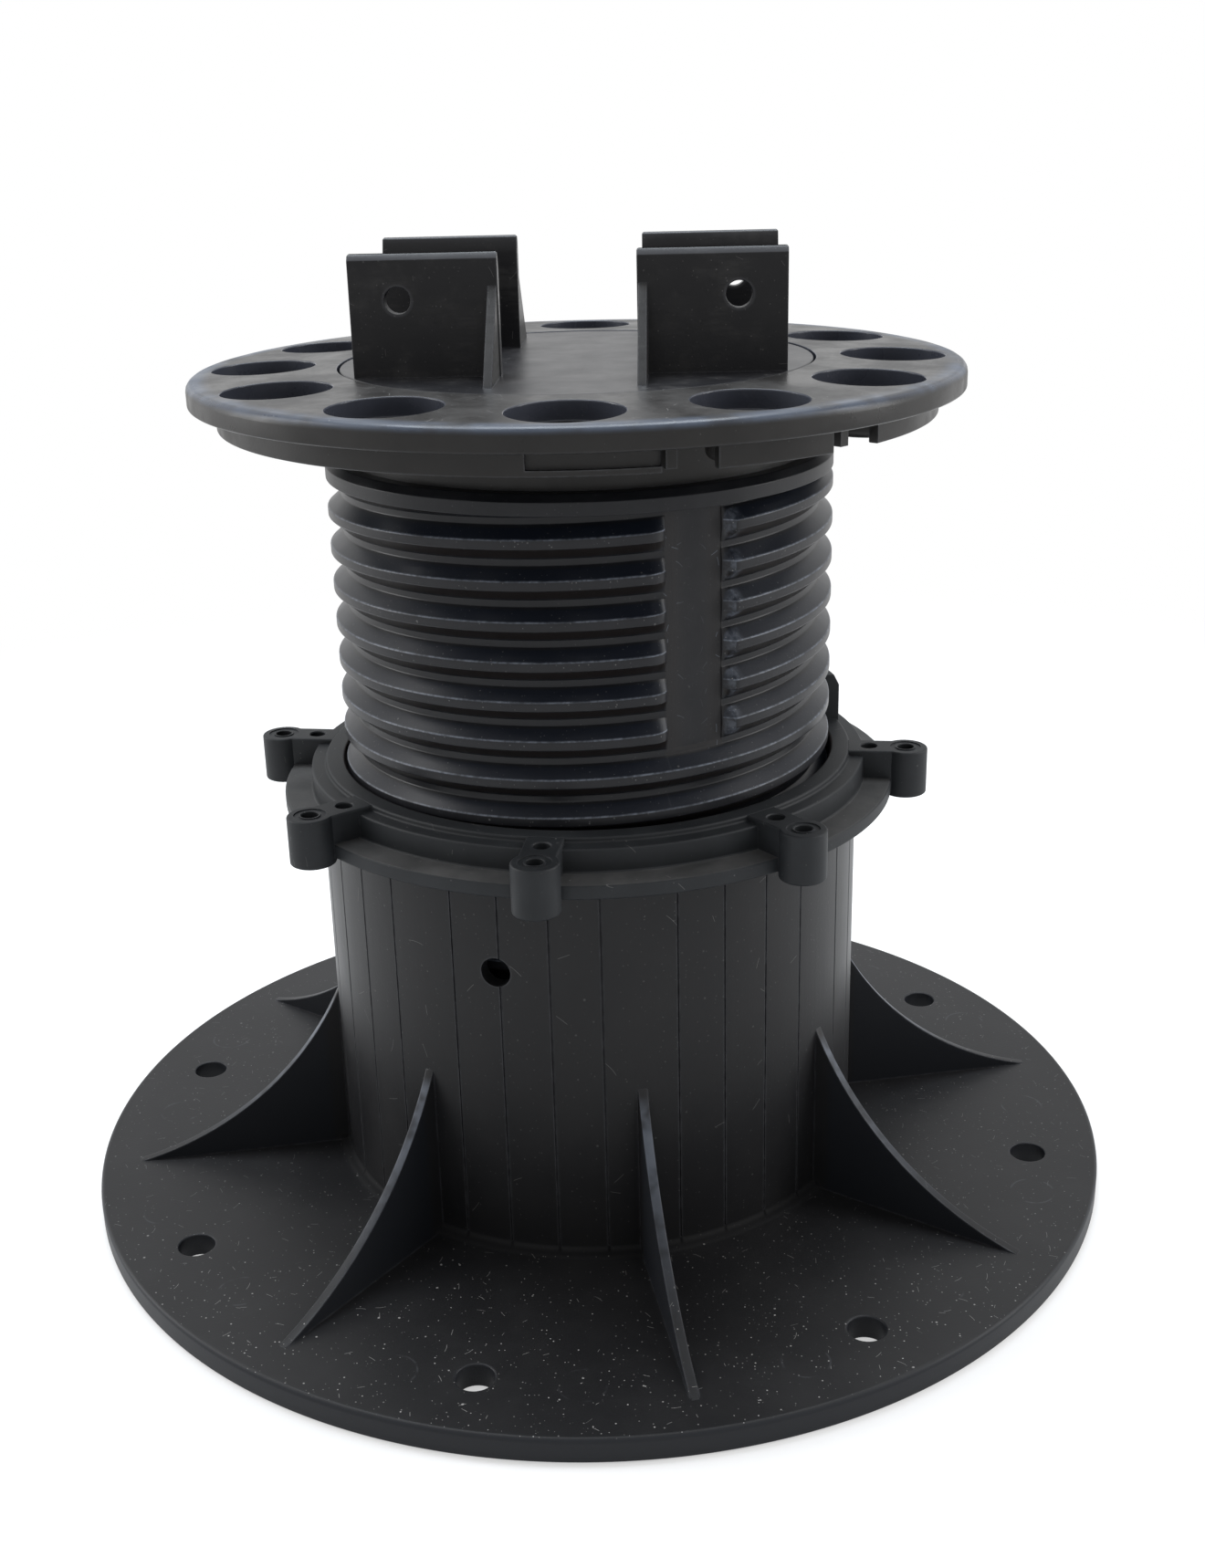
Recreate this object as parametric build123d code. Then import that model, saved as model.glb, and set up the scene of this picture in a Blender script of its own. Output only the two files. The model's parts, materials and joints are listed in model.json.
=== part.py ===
from build123d import *
import math
import os

# Adjustable decking pedestal: a round foot, a threaded riser with its adjusting ring,
# a head plate and a swivelling joist holder.
# Millimetres, +Z up, origin at the centre of the underside, X along the joist channel.

# Small overlap that joins a rib, boss or thread to the wall that it grows from
ROOTING = 0.4
# How far a cutting shape runs past the faces that it opens
OVERCUT = 1.0

# Foot: flange, tube and gussets
FLANGE_R = 100.0
FLANGE_T = 4.5
FLANGE_EDGE_ROUND = 0.9
TUBE_GAP = 2.5
TUBE_WALL = 2.8
TUBE_FOOT_CUT = 1.8
FOOT_BEARING = 12.4
GUSSET_COUNT = 8
GUSSET_T = 1.8
GUSSET_FROM_RIM = 7.4
GUSSET_TOP = 38.0
GUSSET_SAG = 6.2
FIXING_HOLE_FROM_RIM = 13.3
FIXING_HOLE_R = 3.3
FIXING_HOLE_AFTER_GUSSET = 21.8
SEAM_COUNT_PER_BAY = 4
SEAM_STEP = 10.0
SEAM_W = 0.4
SEAM_DEPTH = 0.3
SIDE_HOLE_R = 2.7
SIDE_HOLE_Z = 60.2
SIDE_HOLE_BEARING = -105.9
GUIDE_RIB_W = 2.0
GUIDE_RIB_GAP = 0.5
GUIDE_RIB_UNDER_SPIGOT = 2.5

# Thread of the riser, right-handed with one start
PITCH = 6.8
CREST_R = 45.7
THREAD_DEPTH = 2.5
CREST_FLAT = 1.5
ROOT_FLAT = 1.1
CREST_Z_AT_ZERO = 88.1

# Riser
RISER_WALL = 2.6
RISER_BOTTOM = 48.0
RISER_TOP = 141.9
COLLAR_BAND_BOTTOM = 138.4
COLLAR_BAND_BEVEL = 1.2
FLAT_BEARINGS = (-61.6, 118.4)
FLAT_W = 10.4
FLAT_TURNS_ABOVE_ZERO = (1, 0)
FLAT_SINK = 0.06
FLAT_STEP = 0.3
FLAT_RAMP_W = 3.4
FLAT_ROUND_W = 4.6
FLAT_ROUND_OVER = 0.2

# Adjusting ring
THREAD_GAP = 0.3
RING_BORE_GAP = 0.5
RING_BOTTOM = 77.5
RING_SEAT_GAP = 0.3
RING_TOP = 85.4
RING_LIP_W = 3.5
RING_LIP_STEP = 1.0
RING_WALL_OUT = 2.7
RING_LEDGE_Z = 80.1
RING_LEDGE_W = 5.3
SPIGOT_DEPTH = 6.0
SPIGOT_GAP = 0.3
LUG_COUNT = 8
LUG_BEARING = -5.2
LUG_CENTRE_OUT = 2.4
LUG_R = 4.1
LUG_DROP = 1.0
LUG_ARM_W = 6.4
LUG_EDGE_CUT = 0.5
LUG_HOLE_R = 1.5
LUG_HOLE_RIM_R = 2.9
LUG_HOLE_RIM_DEPTH = 0.25
PIP_HOLE_R = 1.5
PIP_HOLE_DEPTH = 2.0
PIP_HOLE_OUT = 0.9
TAB_BEARING = 13.0
TAB_SWEEP = 13.0
TAB_IN = 1.0
TAB_T = 2.8
TAB_TOP = 94.5
TAB_CORNER_CUT = 2.2

# Head plate
HEAD_RIM_OUT = 4.7
HEAD_EDGE_ROUND = 1.5
HEAD_RIM_Z = 156.4
HEAD_CROWN = 0.7
HEAD_RIM_T = 4.0
SKIRT_OUT = 7.7
SKIRT_WALL = 1.7
SKIRT_H = 4.2
NECK_SHOULDER = 1.8
NECK_WALL = 4.5
STEM_GAP = 0.1
STEM_DEPTH = 8.0
UNDER_RIB_T = 1.8
RECESS_FLOOR_Z = 153.6
RECESS_FLOOR_T = 2.6
CUP_COUNT = 12
CUP_BEARING = 1.5
CUP_WEB = 4.5
CUP_R = 9.2
CUP_DEPTH = 3.0
CUP_HOLE_R = 5.7
CUP_BOSS_R = 6.9
CUP_BOSS_H = 4.6
CUP_BOSS_CUT = 1.2
WINDOW_BEARINGS = (-93.8, 86.2)
WINDOW_PANEL_SWEEP = 18.3
WINDOW_PANEL_DEPTH = 0.9
WINDOW_PANEL_LIP = 1.0
WINDOW_SLOT_SWEEP = 8.0
WINDOW_WALL_SWEEP = 18.9
WINDOW_NOTCH_SWEEP = 9.8

# Joist holder
DISC_R = 41.9
DISC_T = 3.2
DISC_TOP = 157.0
DISC_GAP = 0.4
DISC_EDGE_CUT = 0.4
PIVOT_R = 12.0
PIVOT_WALL = 2.4
PIVOT_GAP = 0.1
PIVOT_LIP = 0.7
PIVOT_LIP_H = 1.0
PANEL_X_IN = 11.5
PANEL_X_OUT = 36.4
CHANNEL_W = 35.0
PANEL_T = 2.6
PANEL_H = 20.2
PANEL_LIP_H = 1.1
PANEL_LIP_IN = 0.8
LEAD_IN_H = 3.0
LEAD_IN_DEPTH = 1.2
PANEL_CORNER_CUT = 0.8
SCREW_HOLE_R = 2.2
SCREW_HOLE_FROM_END = 8.1
SCREW_HOLE_UP = 12.6
BRACE_T = 1.5
BRACE_FROM_END = 0.2
BRACE_RISE = 14.8
BRACE_REACH = 13.9

# Sizes that follow from those above
TUBE_TOP = RING_BOTTOM - RING_SEAT_GAP
SPIGOT_BOTTOM = RING_BOTTOM - SPIGOT_DEPTH
GUIDE_RIB_TOP = SPIGOT_BOTTOM - GUIDE_RIB_UNDER_SPIGOT
GUSSET_REACH = FLANGE_R - GUSSET_FROM_RIM
FIXING_HOLE_CIRCLE_R = FLANGE_R - FIXING_HOLE_FROM_RIM
TUBE_BORE_R = CREST_R + TUBE_GAP
TUBE_R = TUBE_BORE_R + TUBE_WALL
ROOT_R = CREST_R - THREAD_DEPTH
RISER_BORE_R = ROOT_R - RISER_WALL
RING_BORE_R = CREST_R + RING_BORE_GAP
RING_LIP_R = RING_BORE_R + RING_LIP_W
RING_WALL_R = RING_LIP_R + RING_WALL_OUT
RING_LEDGE_R = RING_WALL_R + RING_LEDGE_W
LUG_CIRCLE_R = RING_LEDGE_R + LUG_CENTRE_OUT
PIP_HOLE_CIRCLE_R = RING_WALL_R + PIP_HOLE_OUT
TAB_IN_R = RING_BORE_R + TAB_IN
TAB_OUT_R = TAB_IN_R + TAB_T
STEM_R = RISER_BORE_R - STEM_GAP
NECK_R = RISER_BORE_R + NECK_SHOULDER
RECESS_R = DISC_R + DISC_GAP
CUP_CIRCLE_R = RECESS_R + CUP_WEB + CUP_R
SKIRT_R = CUP_CIRCLE_R + SKIRT_OUT
HEAD_R = SKIRT_R + HEAD_RIM_OUT
HEAD_UNDERSIDE = HEAD_RIM_Z - HEAD_RIM_T
SKIRT_BOTTOM = HEAD_UNDERSIDE - SKIRT_H
CUP_BOSS_BOTTOM = HEAD_UNDERSIDE - CUP_BOSS_H
PIVOT_BORE_R = PIVOT_R + PIVOT_GAP
PANEL_Y_IN = CHANNEL_W / 2
PANEL_Y_OUT = PANEL_Y_IN + PANEL_T
FLANK_H = (PITCH - CREST_FLAT - ROOT_FLAT) / 2
BAY = 360 / GUSSET_COUNT


def turned(outline, rounds=None):
    """Solid turned about Z from (radius, height) points, some corners rounded."""
    face = make_face(Polyline(*outline, close=True))
    for corner, radius in (rounds or {}).items():
        near = face.vertices().sort_by_distance(Vector(*outline[corner]))[0]
        face = fillet(near, radius)
    return revolve(Plane.XZ * face, Axis.Z)


def round_bar(radius, bottom, top):
    """Upright cylinder on the Z axis between two heights."""
    return Pos(0, 0, bottom) * extrude(Circle(radius), top - bottom)


def block(x_low, x_high, y_low, y_high, z_low, z_high):
    """Box between two corners."""
    size = Box(x_high - x_low, y_high - y_low, z_high - z_low)
    return Pos((x_low + x_high) / 2, (y_low + y_high) / 2, (z_low + z_high) / 2) * size


def outwards(radius, across):
    """Distance along X of the point on a circle that lies this far beside the X axis."""
    return math.sqrt(radius**2 - across**2)


def sector(r_in, r_out, z_low, z_high, bearing, sweep):
    """Arc-shaped block that starts at a bearing and runs on by the sweep in degrees."""
    outline = [(r_in, z_low), (r_out, z_low), (r_out, z_high), (r_in, z_high)]
    face = Plane.XZ * make_face(Polyline(*outline, close=True))
    return Rot(0, 0, bearing) * revolve(face, Axis.Z, sweep)


def around(shape, count, bearing):
    """Copies of a shape at equal steps about Z."""
    return [Rot(0, 0, bearing + 360 * i / count) * shape for i in range(count)]


def wound(outline, z_start, z_end, z_at_zero):
    """Ridge with the given (radius, height) section, wound between two heights."""
    radius = outline[0][0]
    turn = 360 * (z_start - z_at_zero) / PITCH
    path = Helix(pitch=PITCH, height=z_end - z_start, radius=radius)
    face = Plane.XZ * make_face(Polyline(*outline, close=True))
    ridge = sweep(face, path=path, is_frenet=True)
    return Pos(0, 0, z_start) * Rot(0, 0, turn) * ridge


def make_foot():
    """Round foot: flange, riser tube, gussets, fixing holes and guide ribs."""
    foot = turned(
        [
            (TUBE_BORE_R, 0),
            (FLANGE_R, 0),
            (FLANGE_R, FLANGE_T),
            (TUBE_R + TUBE_FOOT_CUT, FLANGE_T),
            (TUBE_R, FLANGE_T + TUBE_FOOT_CUT),
            (TUBE_R, TUBE_TOP),
            (TUBE_BORE_R, TUBE_TOP),
        ],
        {2: FLANGE_EDGE_ROUND},
    )
    root_r = TUBE_R - TUBE_WALL / 2
    root_z = FLANGE_T / 2
    edge = Polyline(
        (TUBE_R, GUSSET_TOP),
        (root_r, GUSSET_TOP),
        (root_r, root_z),
        (GUSSET_REACH, root_z),
        (GUSSET_REACH, FLANGE_T),
    )
    curve = SagittaArc((GUSSET_REACH, FLANGE_T), (TUBE_R, GUSSET_TOP), GUSSET_SAG)
    gusset = extrude(Plane.XZ * make_face(edge + curve), GUSSET_T / 2, both=True)
    foot += around(gusset, GUSSET_COUNT, FOOT_BEARING)

    half_rib = GUIDE_RIB_W / 2
    rib = block(CREST_R + GUIDE_RIB_GAP, root_r, -half_rib, half_rib, 0, GUIDE_RIB_TOP)
    foot += around(rib, GUSSET_COUNT, FOOT_BEARING)

    hole = round_bar(FIXING_HOLE_R, -OVERCUT, FLANGE_T + OVERCUT)
    hole = Pos(FIXING_HOLE_CIRCLE_R, 0, 0) * hole
    foot -= around(hole, GUSSET_COUNT, FOOT_BEARING + FIXING_HOLE_AFTER_GUSSET)

    seam_bottom = FLANGE_T + TUBE_FOOT_CUT
    seam_out_r = TUBE_R + OVERCUT
    half_seam = SEAM_W / 2
    seam = block(
        TUBE_R - SEAM_DEPTH, seam_out_r, -half_seam, half_seam, seam_bottom, TUBE_TOP + OVERCUT
    )
    first = BAY / 2 - SEAM_STEP * (SEAM_COUNT_PER_BAY - 1) / 2
    for i in range(SEAM_COUNT_PER_BAY):
        foot -= around(seam, GUSSET_COUNT, FOOT_BEARING + first + i * SEAM_STEP)

    side_hole = Rot(0, 90, 0) * Cylinder(SIDE_HOLE_R, TUBE_WALL + 2 * OVERCUT)
    foot -= Rot(0, 0, SIDE_HOLE_BEARING) * Pos(root_r, 0, SIDE_HOLE_Z) * side_hole
    return foot


def make_riser():
    """Threaded riser tube with a plain band at its top and two flats down its sides."""
    core = round_bar(ROOT_R, RISER_BOTTOM, RISER_TOP)
    half_crest = CREST_FLAT / 2
    half_root = half_crest + FLANK_H
    slope = FLANK_H / THREAD_DEPTH
    half_sunk = half_root + slope * ROOTING
    ridge = wound(
        [
            (ROOT_R - ROOTING, half_sunk),
            (CREST_R, half_crest),
            (CREST_R, -half_crest),
            (ROOT_R - ROOTING, -half_sunk),
        ],
        RISER_BOTTOM + half_sunk,
        RISER_TOP - CREST_FLAT,
        CREST_Z_AT_ZERO,
    )
    riser = core + ridge

    half_w = FLAT_W / 2
    round_y = half_w + FLAT_ROUND_W
    far_u = CREST_R + OVERCUT
    flat_u = outwards(ROOT_R - FLAT_SINK, half_w)
    round_h = THREAD_DEPTH + FLAT_ROUND_OVER
    eighth = math.sqrt(1 / 2)
    middle_y = round_y - FLAT_ROUND_W * eighth
    crest_end = (outwards(ROOT_R + round_h, round_y), -round_y)
    middle = (outwards(ROOT_R + round_h * eighth, middle_y), -middle_y)
    edge = Polyline(
        crest_end,
        (far_u, -round_y),
        (far_u, half_w + FLAT_RAMP_W),
        (flat_u + FLAT_STEP, half_w),
        (flat_u, half_w),
        (flat_u, -half_w),
    )
    slot_face = make_face(edge + ThreePointArc((flat_u, -half_w), middle, crest_end))
    for bearing, turns in zip(FLAT_BEARINGS, FLAT_TURNS_ABOVE_ZERO):
        groove_z = CREST_Z_AT_ZERO + PITCH * (bearing / 360 + turns + 1 / 2)
        slot = extrude(slot_face, COLLAR_BAND_BOTTOM - groove_z)
        riser -= Rot(0, 0, bearing) * Pos(0, 0, groove_z) * slot

    band = turned(
        [
            (ROOT_R - ROOTING, COLLAR_BAND_BOTTOM),
            (CREST_R, COLLAR_BAND_BOTTOM),
            (CREST_R, RISER_TOP - COLLAR_BAND_BEVEL),
            (CREST_R - COLLAR_BAND_BEVEL, RISER_TOP),
            (ROOT_R - ROOTING, RISER_TOP),
        ]
    )
    riser += band
    trim = round_bar(CREST_R + OVERCUT, RISER_TOP, RISER_TOP + PITCH)
    trim += round_bar(RISER_BORE_R, RISER_BOTTOM - OVERCUT, RISER_TOP + OVERCUT)
    return riser - trim


def make_ring():
    """Adjusting ring: threaded collar with a stepped wall, eight lugs and a tab."""
    ring = turned(
        [
            (RING_BORE_R, SPIGOT_BOTTOM),
            (TUBE_BORE_R - SPIGOT_GAP, SPIGOT_BOTTOM),
            (TUBE_BORE_R - SPIGOT_GAP, RING_BOTTOM),
            (RING_LEDGE_R, RING_BOTTOM),
            (RING_LEDGE_R, RING_LEDGE_Z),
            (RING_WALL_R, RING_LEDGE_Z),
            (RING_WALL_R, RING_TOP - RING_LIP_STEP),
            (RING_LIP_R, RING_TOP - RING_LIP_STEP),
            (RING_LIP_R, RING_TOP),
            (RING_BORE_R, RING_TOP),
        ]
    )
    half_w = LUG_ARM_W / 2
    arm_in_r = RING_LIP_R - ROOTING
    arm = block(arm_in_r, LUG_CIRCLE_R, -half_w, half_w, RING_BOTTOM, RING_TOP)
    boss = Pos(LUG_CIRCLE_R, 0, 0) * round_bar(LUG_R, RING_BOTTOM - LUG_DROP, RING_TOP)
    boss = chamfer(boss.edges().filter_by(GeomType.CIRCLE), LUG_EDGE_CUT)
    ring += around(arm, LUG_COUNT, LUG_BEARING)
    ring += around(boss, LUG_COUNT, LUG_BEARING)

    past_top = RING_TOP + OVERCUT
    hole = round_bar(LUG_HOLE_R, RING_BOTTOM - LUG_DROP - OVERCUT, past_top)
    hole += round_bar(LUG_HOLE_RIM_R, RING_TOP - LUG_HOLE_RIM_DEPTH, past_top)
    pip = round_bar(PIP_HOLE_R, RING_TOP - PIP_HOLE_DEPTH, past_top)
    ring -= around(Pos(LUG_CIRCLE_R, 0, 0) * hole, LUG_COUNT, LUG_BEARING)
    ring -= around(Pos(PIP_HOLE_CIRCLE_R, 0, 0) * pip, LUG_COUNT, LUG_BEARING)

    tab = sector(TAB_IN_R, TAB_OUT_R, RING_TOP - ROOTING, TAB_TOP, TAB_BEARING, TAB_SWEEP)
    crown = tab.edges().filter_by(GeomType.CIRCLE).group_by(Axis.Z)[-1]
    ring += chamfer(crown.sort_by(SortBy.RADIUS)[-1], TAB_CORNER_CUT, TAB_CORNER_CUT / 2)

    groove_r = RING_BORE_R + ROOTING
    tip_r = ROOT_R + RING_BORE_GAP
    slope = FLANK_H / THREAD_DEPTH
    half_tip = ROOT_FLAT / 2 + slope * (tip_r - ROOT_R) - THREAD_GAP
    half_base = ROOT_FLAT / 2 + slope * (groove_r - ROOT_R) - THREAD_GAP
    ring += wound(
        [(groove_r, -half_base), (tip_r, -half_tip), (tip_r, half_tip), (groove_r, half_base)],
        SPIGOT_BOTTOM + half_base,
        RING_TOP - half_base,
        CREST_Z_AT_ZERO + PITCH / 2,
    )
    return ring


def make_head():
    """Head plate: ring of stepped cups round a recess, notched skirt, neck and stem."""
    recess_top = HEAD_RIM_Z + HEAD_CROWN
    neck_in_r = NECK_R - NECK_WALL
    floor_bottom = RECESS_FLOOR_Z - RECESS_FLOOR_T
    head = turned(
        [
            (PIVOT_BORE_R, floor_bottom),
            (neck_in_r, floor_bottom),
            (neck_in_r, RISER_TOP - STEM_DEPTH),
            (STEM_R, RISER_TOP - STEM_DEPTH),
            (STEM_R, RISER_TOP),
            (NECK_R, RISER_TOP),
            (NECK_R, HEAD_UNDERSIDE),
            (SKIRT_R - SKIRT_WALL, HEAD_UNDERSIDE),
            (SKIRT_R - SKIRT_WALL, SKIRT_BOTTOM),
            (SKIRT_R, SKIRT_BOTTOM),
            (SKIRT_R, HEAD_UNDERSIDE),
            (HEAD_R, HEAD_UNDERSIDE),
            (HEAD_R, HEAD_RIM_Z),
            (RECESS_R, recess_top),
            (RECESS_R, RECESS_FLOOR_Z),
            (PIVOT_BORE_R, RECESS_FLOOR_Z),
        ],
        {12: HEAD_EDGE_ROUND},
    )
    boss = round_bar(CUP_BOSS_R, CUP_BOSS_BOTTOM, HEAD_UNDERSIDE + ROOTING)
    boss = chamfer(boss.edges().group_by(Axis.Z)[0], CUP_BOSS_CUT)
    head += around(Pos(CUP_CIRCLE_R, 0, 0) * boss, CUP_COUNT, CUP_BEARING)
    cup = round_bar(CUP_R, HEAD_RIM_Z - CUP_DEPTH, recess_top + OVERCUT)
    cup += round_bar(CUP_HOLE_R, CUP_BOSS_BOTTOM - OVERCUT, recess_top)
    head -= around(Pos(CUP_CIRCLE_R, 0, 0) * cup, CUP_COUNT, CUP_BEARING)

    rib_in_r = NECK_R - ROOTING
    rib_out_r = SKIRT_R - SKIRT_WALL + ROOTING
    half_t = UNDER_RIB_T / 2
    rib = block(rib_in_r, rib_out_r, -half_t, half_t, SKIRT_BOTTOM, HEAD_UNDERSIDE + ROOTING)
    head += around(rib, CUP_COUNT, CUP_BEARING + 180 / CUP_COUNT)

    past_in = SKIRT_R - SKIRT_WALL - OVERCUT
    past_out = SKIRT_R + OVERCUT
    past_bottom = SKIRT_BOTTOM - OVERCUT
    for start in WINDOW_BEARINGS:
        head -= sector(
            SKIRT_R - WINDOW_PANEL_DEPTH,
            past_out,
            SKIRT_BOTTOM + WINDOW_PANEL_LIP,
            HEAD_UNDERSIDE,
            start,
            WINDOW_PANEL_SWEEP,
        )
        slot = start + WINDOW_PANEL_SWEEP
        notch = slot + WINDOW_SLOT_SWEEP + WINDOW_WALL_SWEEP
        for bearing, opening in ((slot, WINDOW_SLOT_SWEEP), (notch, WINDOW_NOTCH_SWEEP)):
            head -= sector(past_in, past_out, past_bottom, HEAD_UNDERSIDE, bearing, opening)
    return head


def make_panel():
    """One upright panel of the joist holder with its brace, in the +X +Y quarter."""
    top = DISC_TOP + PANEL_H
    section = make_face(
        Polyline(
            (PANEL_Y_IN, DISC_TOP - ROOTING),
            (PANEL_Y_OUT, DISC_TOP - ROOTING),
            (PANEL_Y_OUT, top - PANEL_LIP_H),
            (PANEL_Y_OUT - PANEL_LIP_IN, top),
            (PANEL_Y_IN + LEAD_IN_DEPTH, top),
            (PANEL_Y_IN, top - LEAD_IN_H),
            close=True,
        )
    )
    panel = Pos(PANEL_X_IN, 0, 0) * extrude(Plane.YZ * section, PANEL_X_OUT - PANEL_X_IN)
    brace_face = make_face(
        Polyline(
            (PANEL_Y_OUT - ROOTING, DISC_TOP - ROOTING),
            (PANEL_Y_OUT + BRACE_REACH, DISC_TOP - ROOTING),
            (PANEL_Y_OUT + BRACE_REACH, DISC_TOP),
            (PANEL_Y_OUT, DISC_TOP + BRACE_RISE),
            (PANEL_Y_OUT - ROOTING, DISC_TOP + BRACE_RISE),
            close=True,
        )
    )
    brace = Pos(PANEL_X_IN + BRACE_FROM_END, 0, 0) * extrude(Plane.YZ * brace_face, BRACE_T)
    hole_x = PANEL_X_OUT - SCREW_HOLE_FROM_END
    hole = Rot(90, 0, 0) * Cylinder(SCREW_HOLE_R, PANEL_T + 2 * OVERCUT)
    hole = Pos(hole_x, (PANEL_Y_IN + PANEL_Y_OUT) / 2, DISC_TOP + SCREW_HOLE_UP) * hole
    corner_edges = panel.edges().filter_by(Axis.Y).group_by(Axis.Z)[-1]
    panel = chamfer(corner_edges, PANEL_CORNER_CUT)
    return panel + brace - hole


def make_joist_holder():
    """Turning disc with a hollow pivot and four upright panels."""
    disc_bottom = DISC_TOP - DISC_T
    floor_bottom = RECESS_FLOOR_Z - RECESS_FLOOR_T
    lip_top = floor_bottom - PIVOT_GAP
    holder = turned(
        [
            (0, disc_bottom + PIVOT_WALL / 2),
            (PIVOT_R - PIVOT_WALL, disc_bottom + PIVOT_WALL / 2),
            (PIVOT_R - PIVOT_WALL, lip_top - PIVOT_LIP_H),
            (PIVOT_R, lip_top - PIVOT_LIP_H),
            (PIVOT_R + PIVOT_LIP, lip_top),
            (PIVOT_R, lip_top),
            (PIVOT_R, disc_bottom),
            (DISC_R, disc_bottom),
            (DISC_R, DISC_TOP - DISC_EDGE_CUT),
            (DISC_R - DISC_EDGE_CUT, DISC_TOP),
            (0, DISC_TOP),
        ]
    )
    quarter = make_panel()
    half = quarter + mirror(quarter, Plane.YZ)
    return holder + half + mirror(half, Plane.XZ)


def main():
    """Writes each piece to its own file."""
    os.makedirs("parts", exist_ok=True)
    pieces = {
        "foot": make_foot(),
        "threaded_riser": make_riser(),
        "adjusting_ring": make_ring(),
        "head_plate": make_head(),
        "joist_holder": make_joist_holder(),
    }
    for name, piece in pieces.items():
        export_step(piece, f"parts/{name}.step")


if __name__ == "__main__":
    main()
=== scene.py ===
"""Adjustable decking pedestal: its five moulded pieces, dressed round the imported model."""

import json
import math

import bmesh
import bpy
from bpy.props import FloatProperty, FloatVectorProperty, IntProperty, PointerProperty
from bpy.types import Operator, Panel, PropertyGroup
from mathutils import Matrix, Vector


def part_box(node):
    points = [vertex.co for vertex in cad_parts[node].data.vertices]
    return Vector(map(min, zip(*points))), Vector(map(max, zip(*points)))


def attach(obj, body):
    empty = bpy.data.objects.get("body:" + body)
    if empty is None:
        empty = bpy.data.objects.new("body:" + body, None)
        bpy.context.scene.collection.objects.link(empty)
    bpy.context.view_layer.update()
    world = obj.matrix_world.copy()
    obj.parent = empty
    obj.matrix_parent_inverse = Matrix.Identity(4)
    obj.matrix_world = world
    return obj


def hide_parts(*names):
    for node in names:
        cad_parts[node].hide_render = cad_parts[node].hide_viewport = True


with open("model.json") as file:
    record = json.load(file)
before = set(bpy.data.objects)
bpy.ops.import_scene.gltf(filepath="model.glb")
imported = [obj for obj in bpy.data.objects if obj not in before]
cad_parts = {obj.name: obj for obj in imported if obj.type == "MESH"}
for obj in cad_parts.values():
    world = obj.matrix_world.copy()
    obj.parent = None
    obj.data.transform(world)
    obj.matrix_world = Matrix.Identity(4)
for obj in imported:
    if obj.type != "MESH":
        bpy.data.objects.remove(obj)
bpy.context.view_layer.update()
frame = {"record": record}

bl_info = {
    "name": "Decking pedestal",
    "version": (1, 0, 0),
    "blender": (4, 5, 0),
    "location": "3D View > Sidebar > Pedestal",
    "description": "Builds the moulded pieces of an adjustable decking pedestal",
    "category": "Add Mesh",
}

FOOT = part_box("foot")
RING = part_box("adjusting_ring")
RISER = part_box("threaded_riser")
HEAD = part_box("head_plate")
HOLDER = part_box("joist_holder")
MOUNTS = {mount["name"]: mount for mount in frame["record"]["mounts"]}

# Overshoot of cutting shapes, and the sunk part of shapes that grow out of another
OVERCUT = 0.001
ROOTING = 0.0004
# Hair's breadth that keeps a cutter's rounding just under the face that it opens
SKIN = 0.00001
# Points closer than this are one point
MERGE = 0.000002
# Share of a mesh column's width that the step at a ramp's foot takes
STEP_SHARE = 0.02
# Angle between two faces from which their edge counts as sharp
SHARP_EDGE = math.radians(30)
# Millimetres in a metre
MILLIMETRES = 1000.0
# Angles from nothing to a quarter turn, for roundings
QUARTER = [k * math.pi / 8 for k in range(5)]


def circle_radius(mount):
    """Radius of the circle on which a mount's holes lie."""
    return MOUNTS[mount]["dims"]["pcd_mm"] / 2 / MILLIMETRES


def hole_radius(mount):
    """Radius of a mount's holes."""
    return MOUNTS[mount]["dims"]["hole_r_mm"] / MILLIMETRES


def length(name, default, description):
    """Property for a length in metres."""
    return FloatProperty(
        name=name,
        default=default,
        min=0.0,
        precision=5,
        subtype="DISTANCE",
        unit="LENGTH",
        description=description,
    )


def angle(name, degrees, description):
    """Property for an angle, with its default in degrees."""
    return FloatProperty(
        name=name,
        default=math.radians(degrees),
        subtype="ANGLE",
        unit="ROTATION",
        description=description,
    )


def colour(name, default, description):
    """Property for a linear colour."""
    return FloatVectorProperty(
        name=name,
        default=default,
        min=0.0,
        max=1.0,
        subtype="COLOR",
        description=description,
    )


def share(name, default, description):
    """Property for a number between nothing and all."""
    return FloatProperty(name=name, default=default, min=0.0, max=1.0, description=description)


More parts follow.
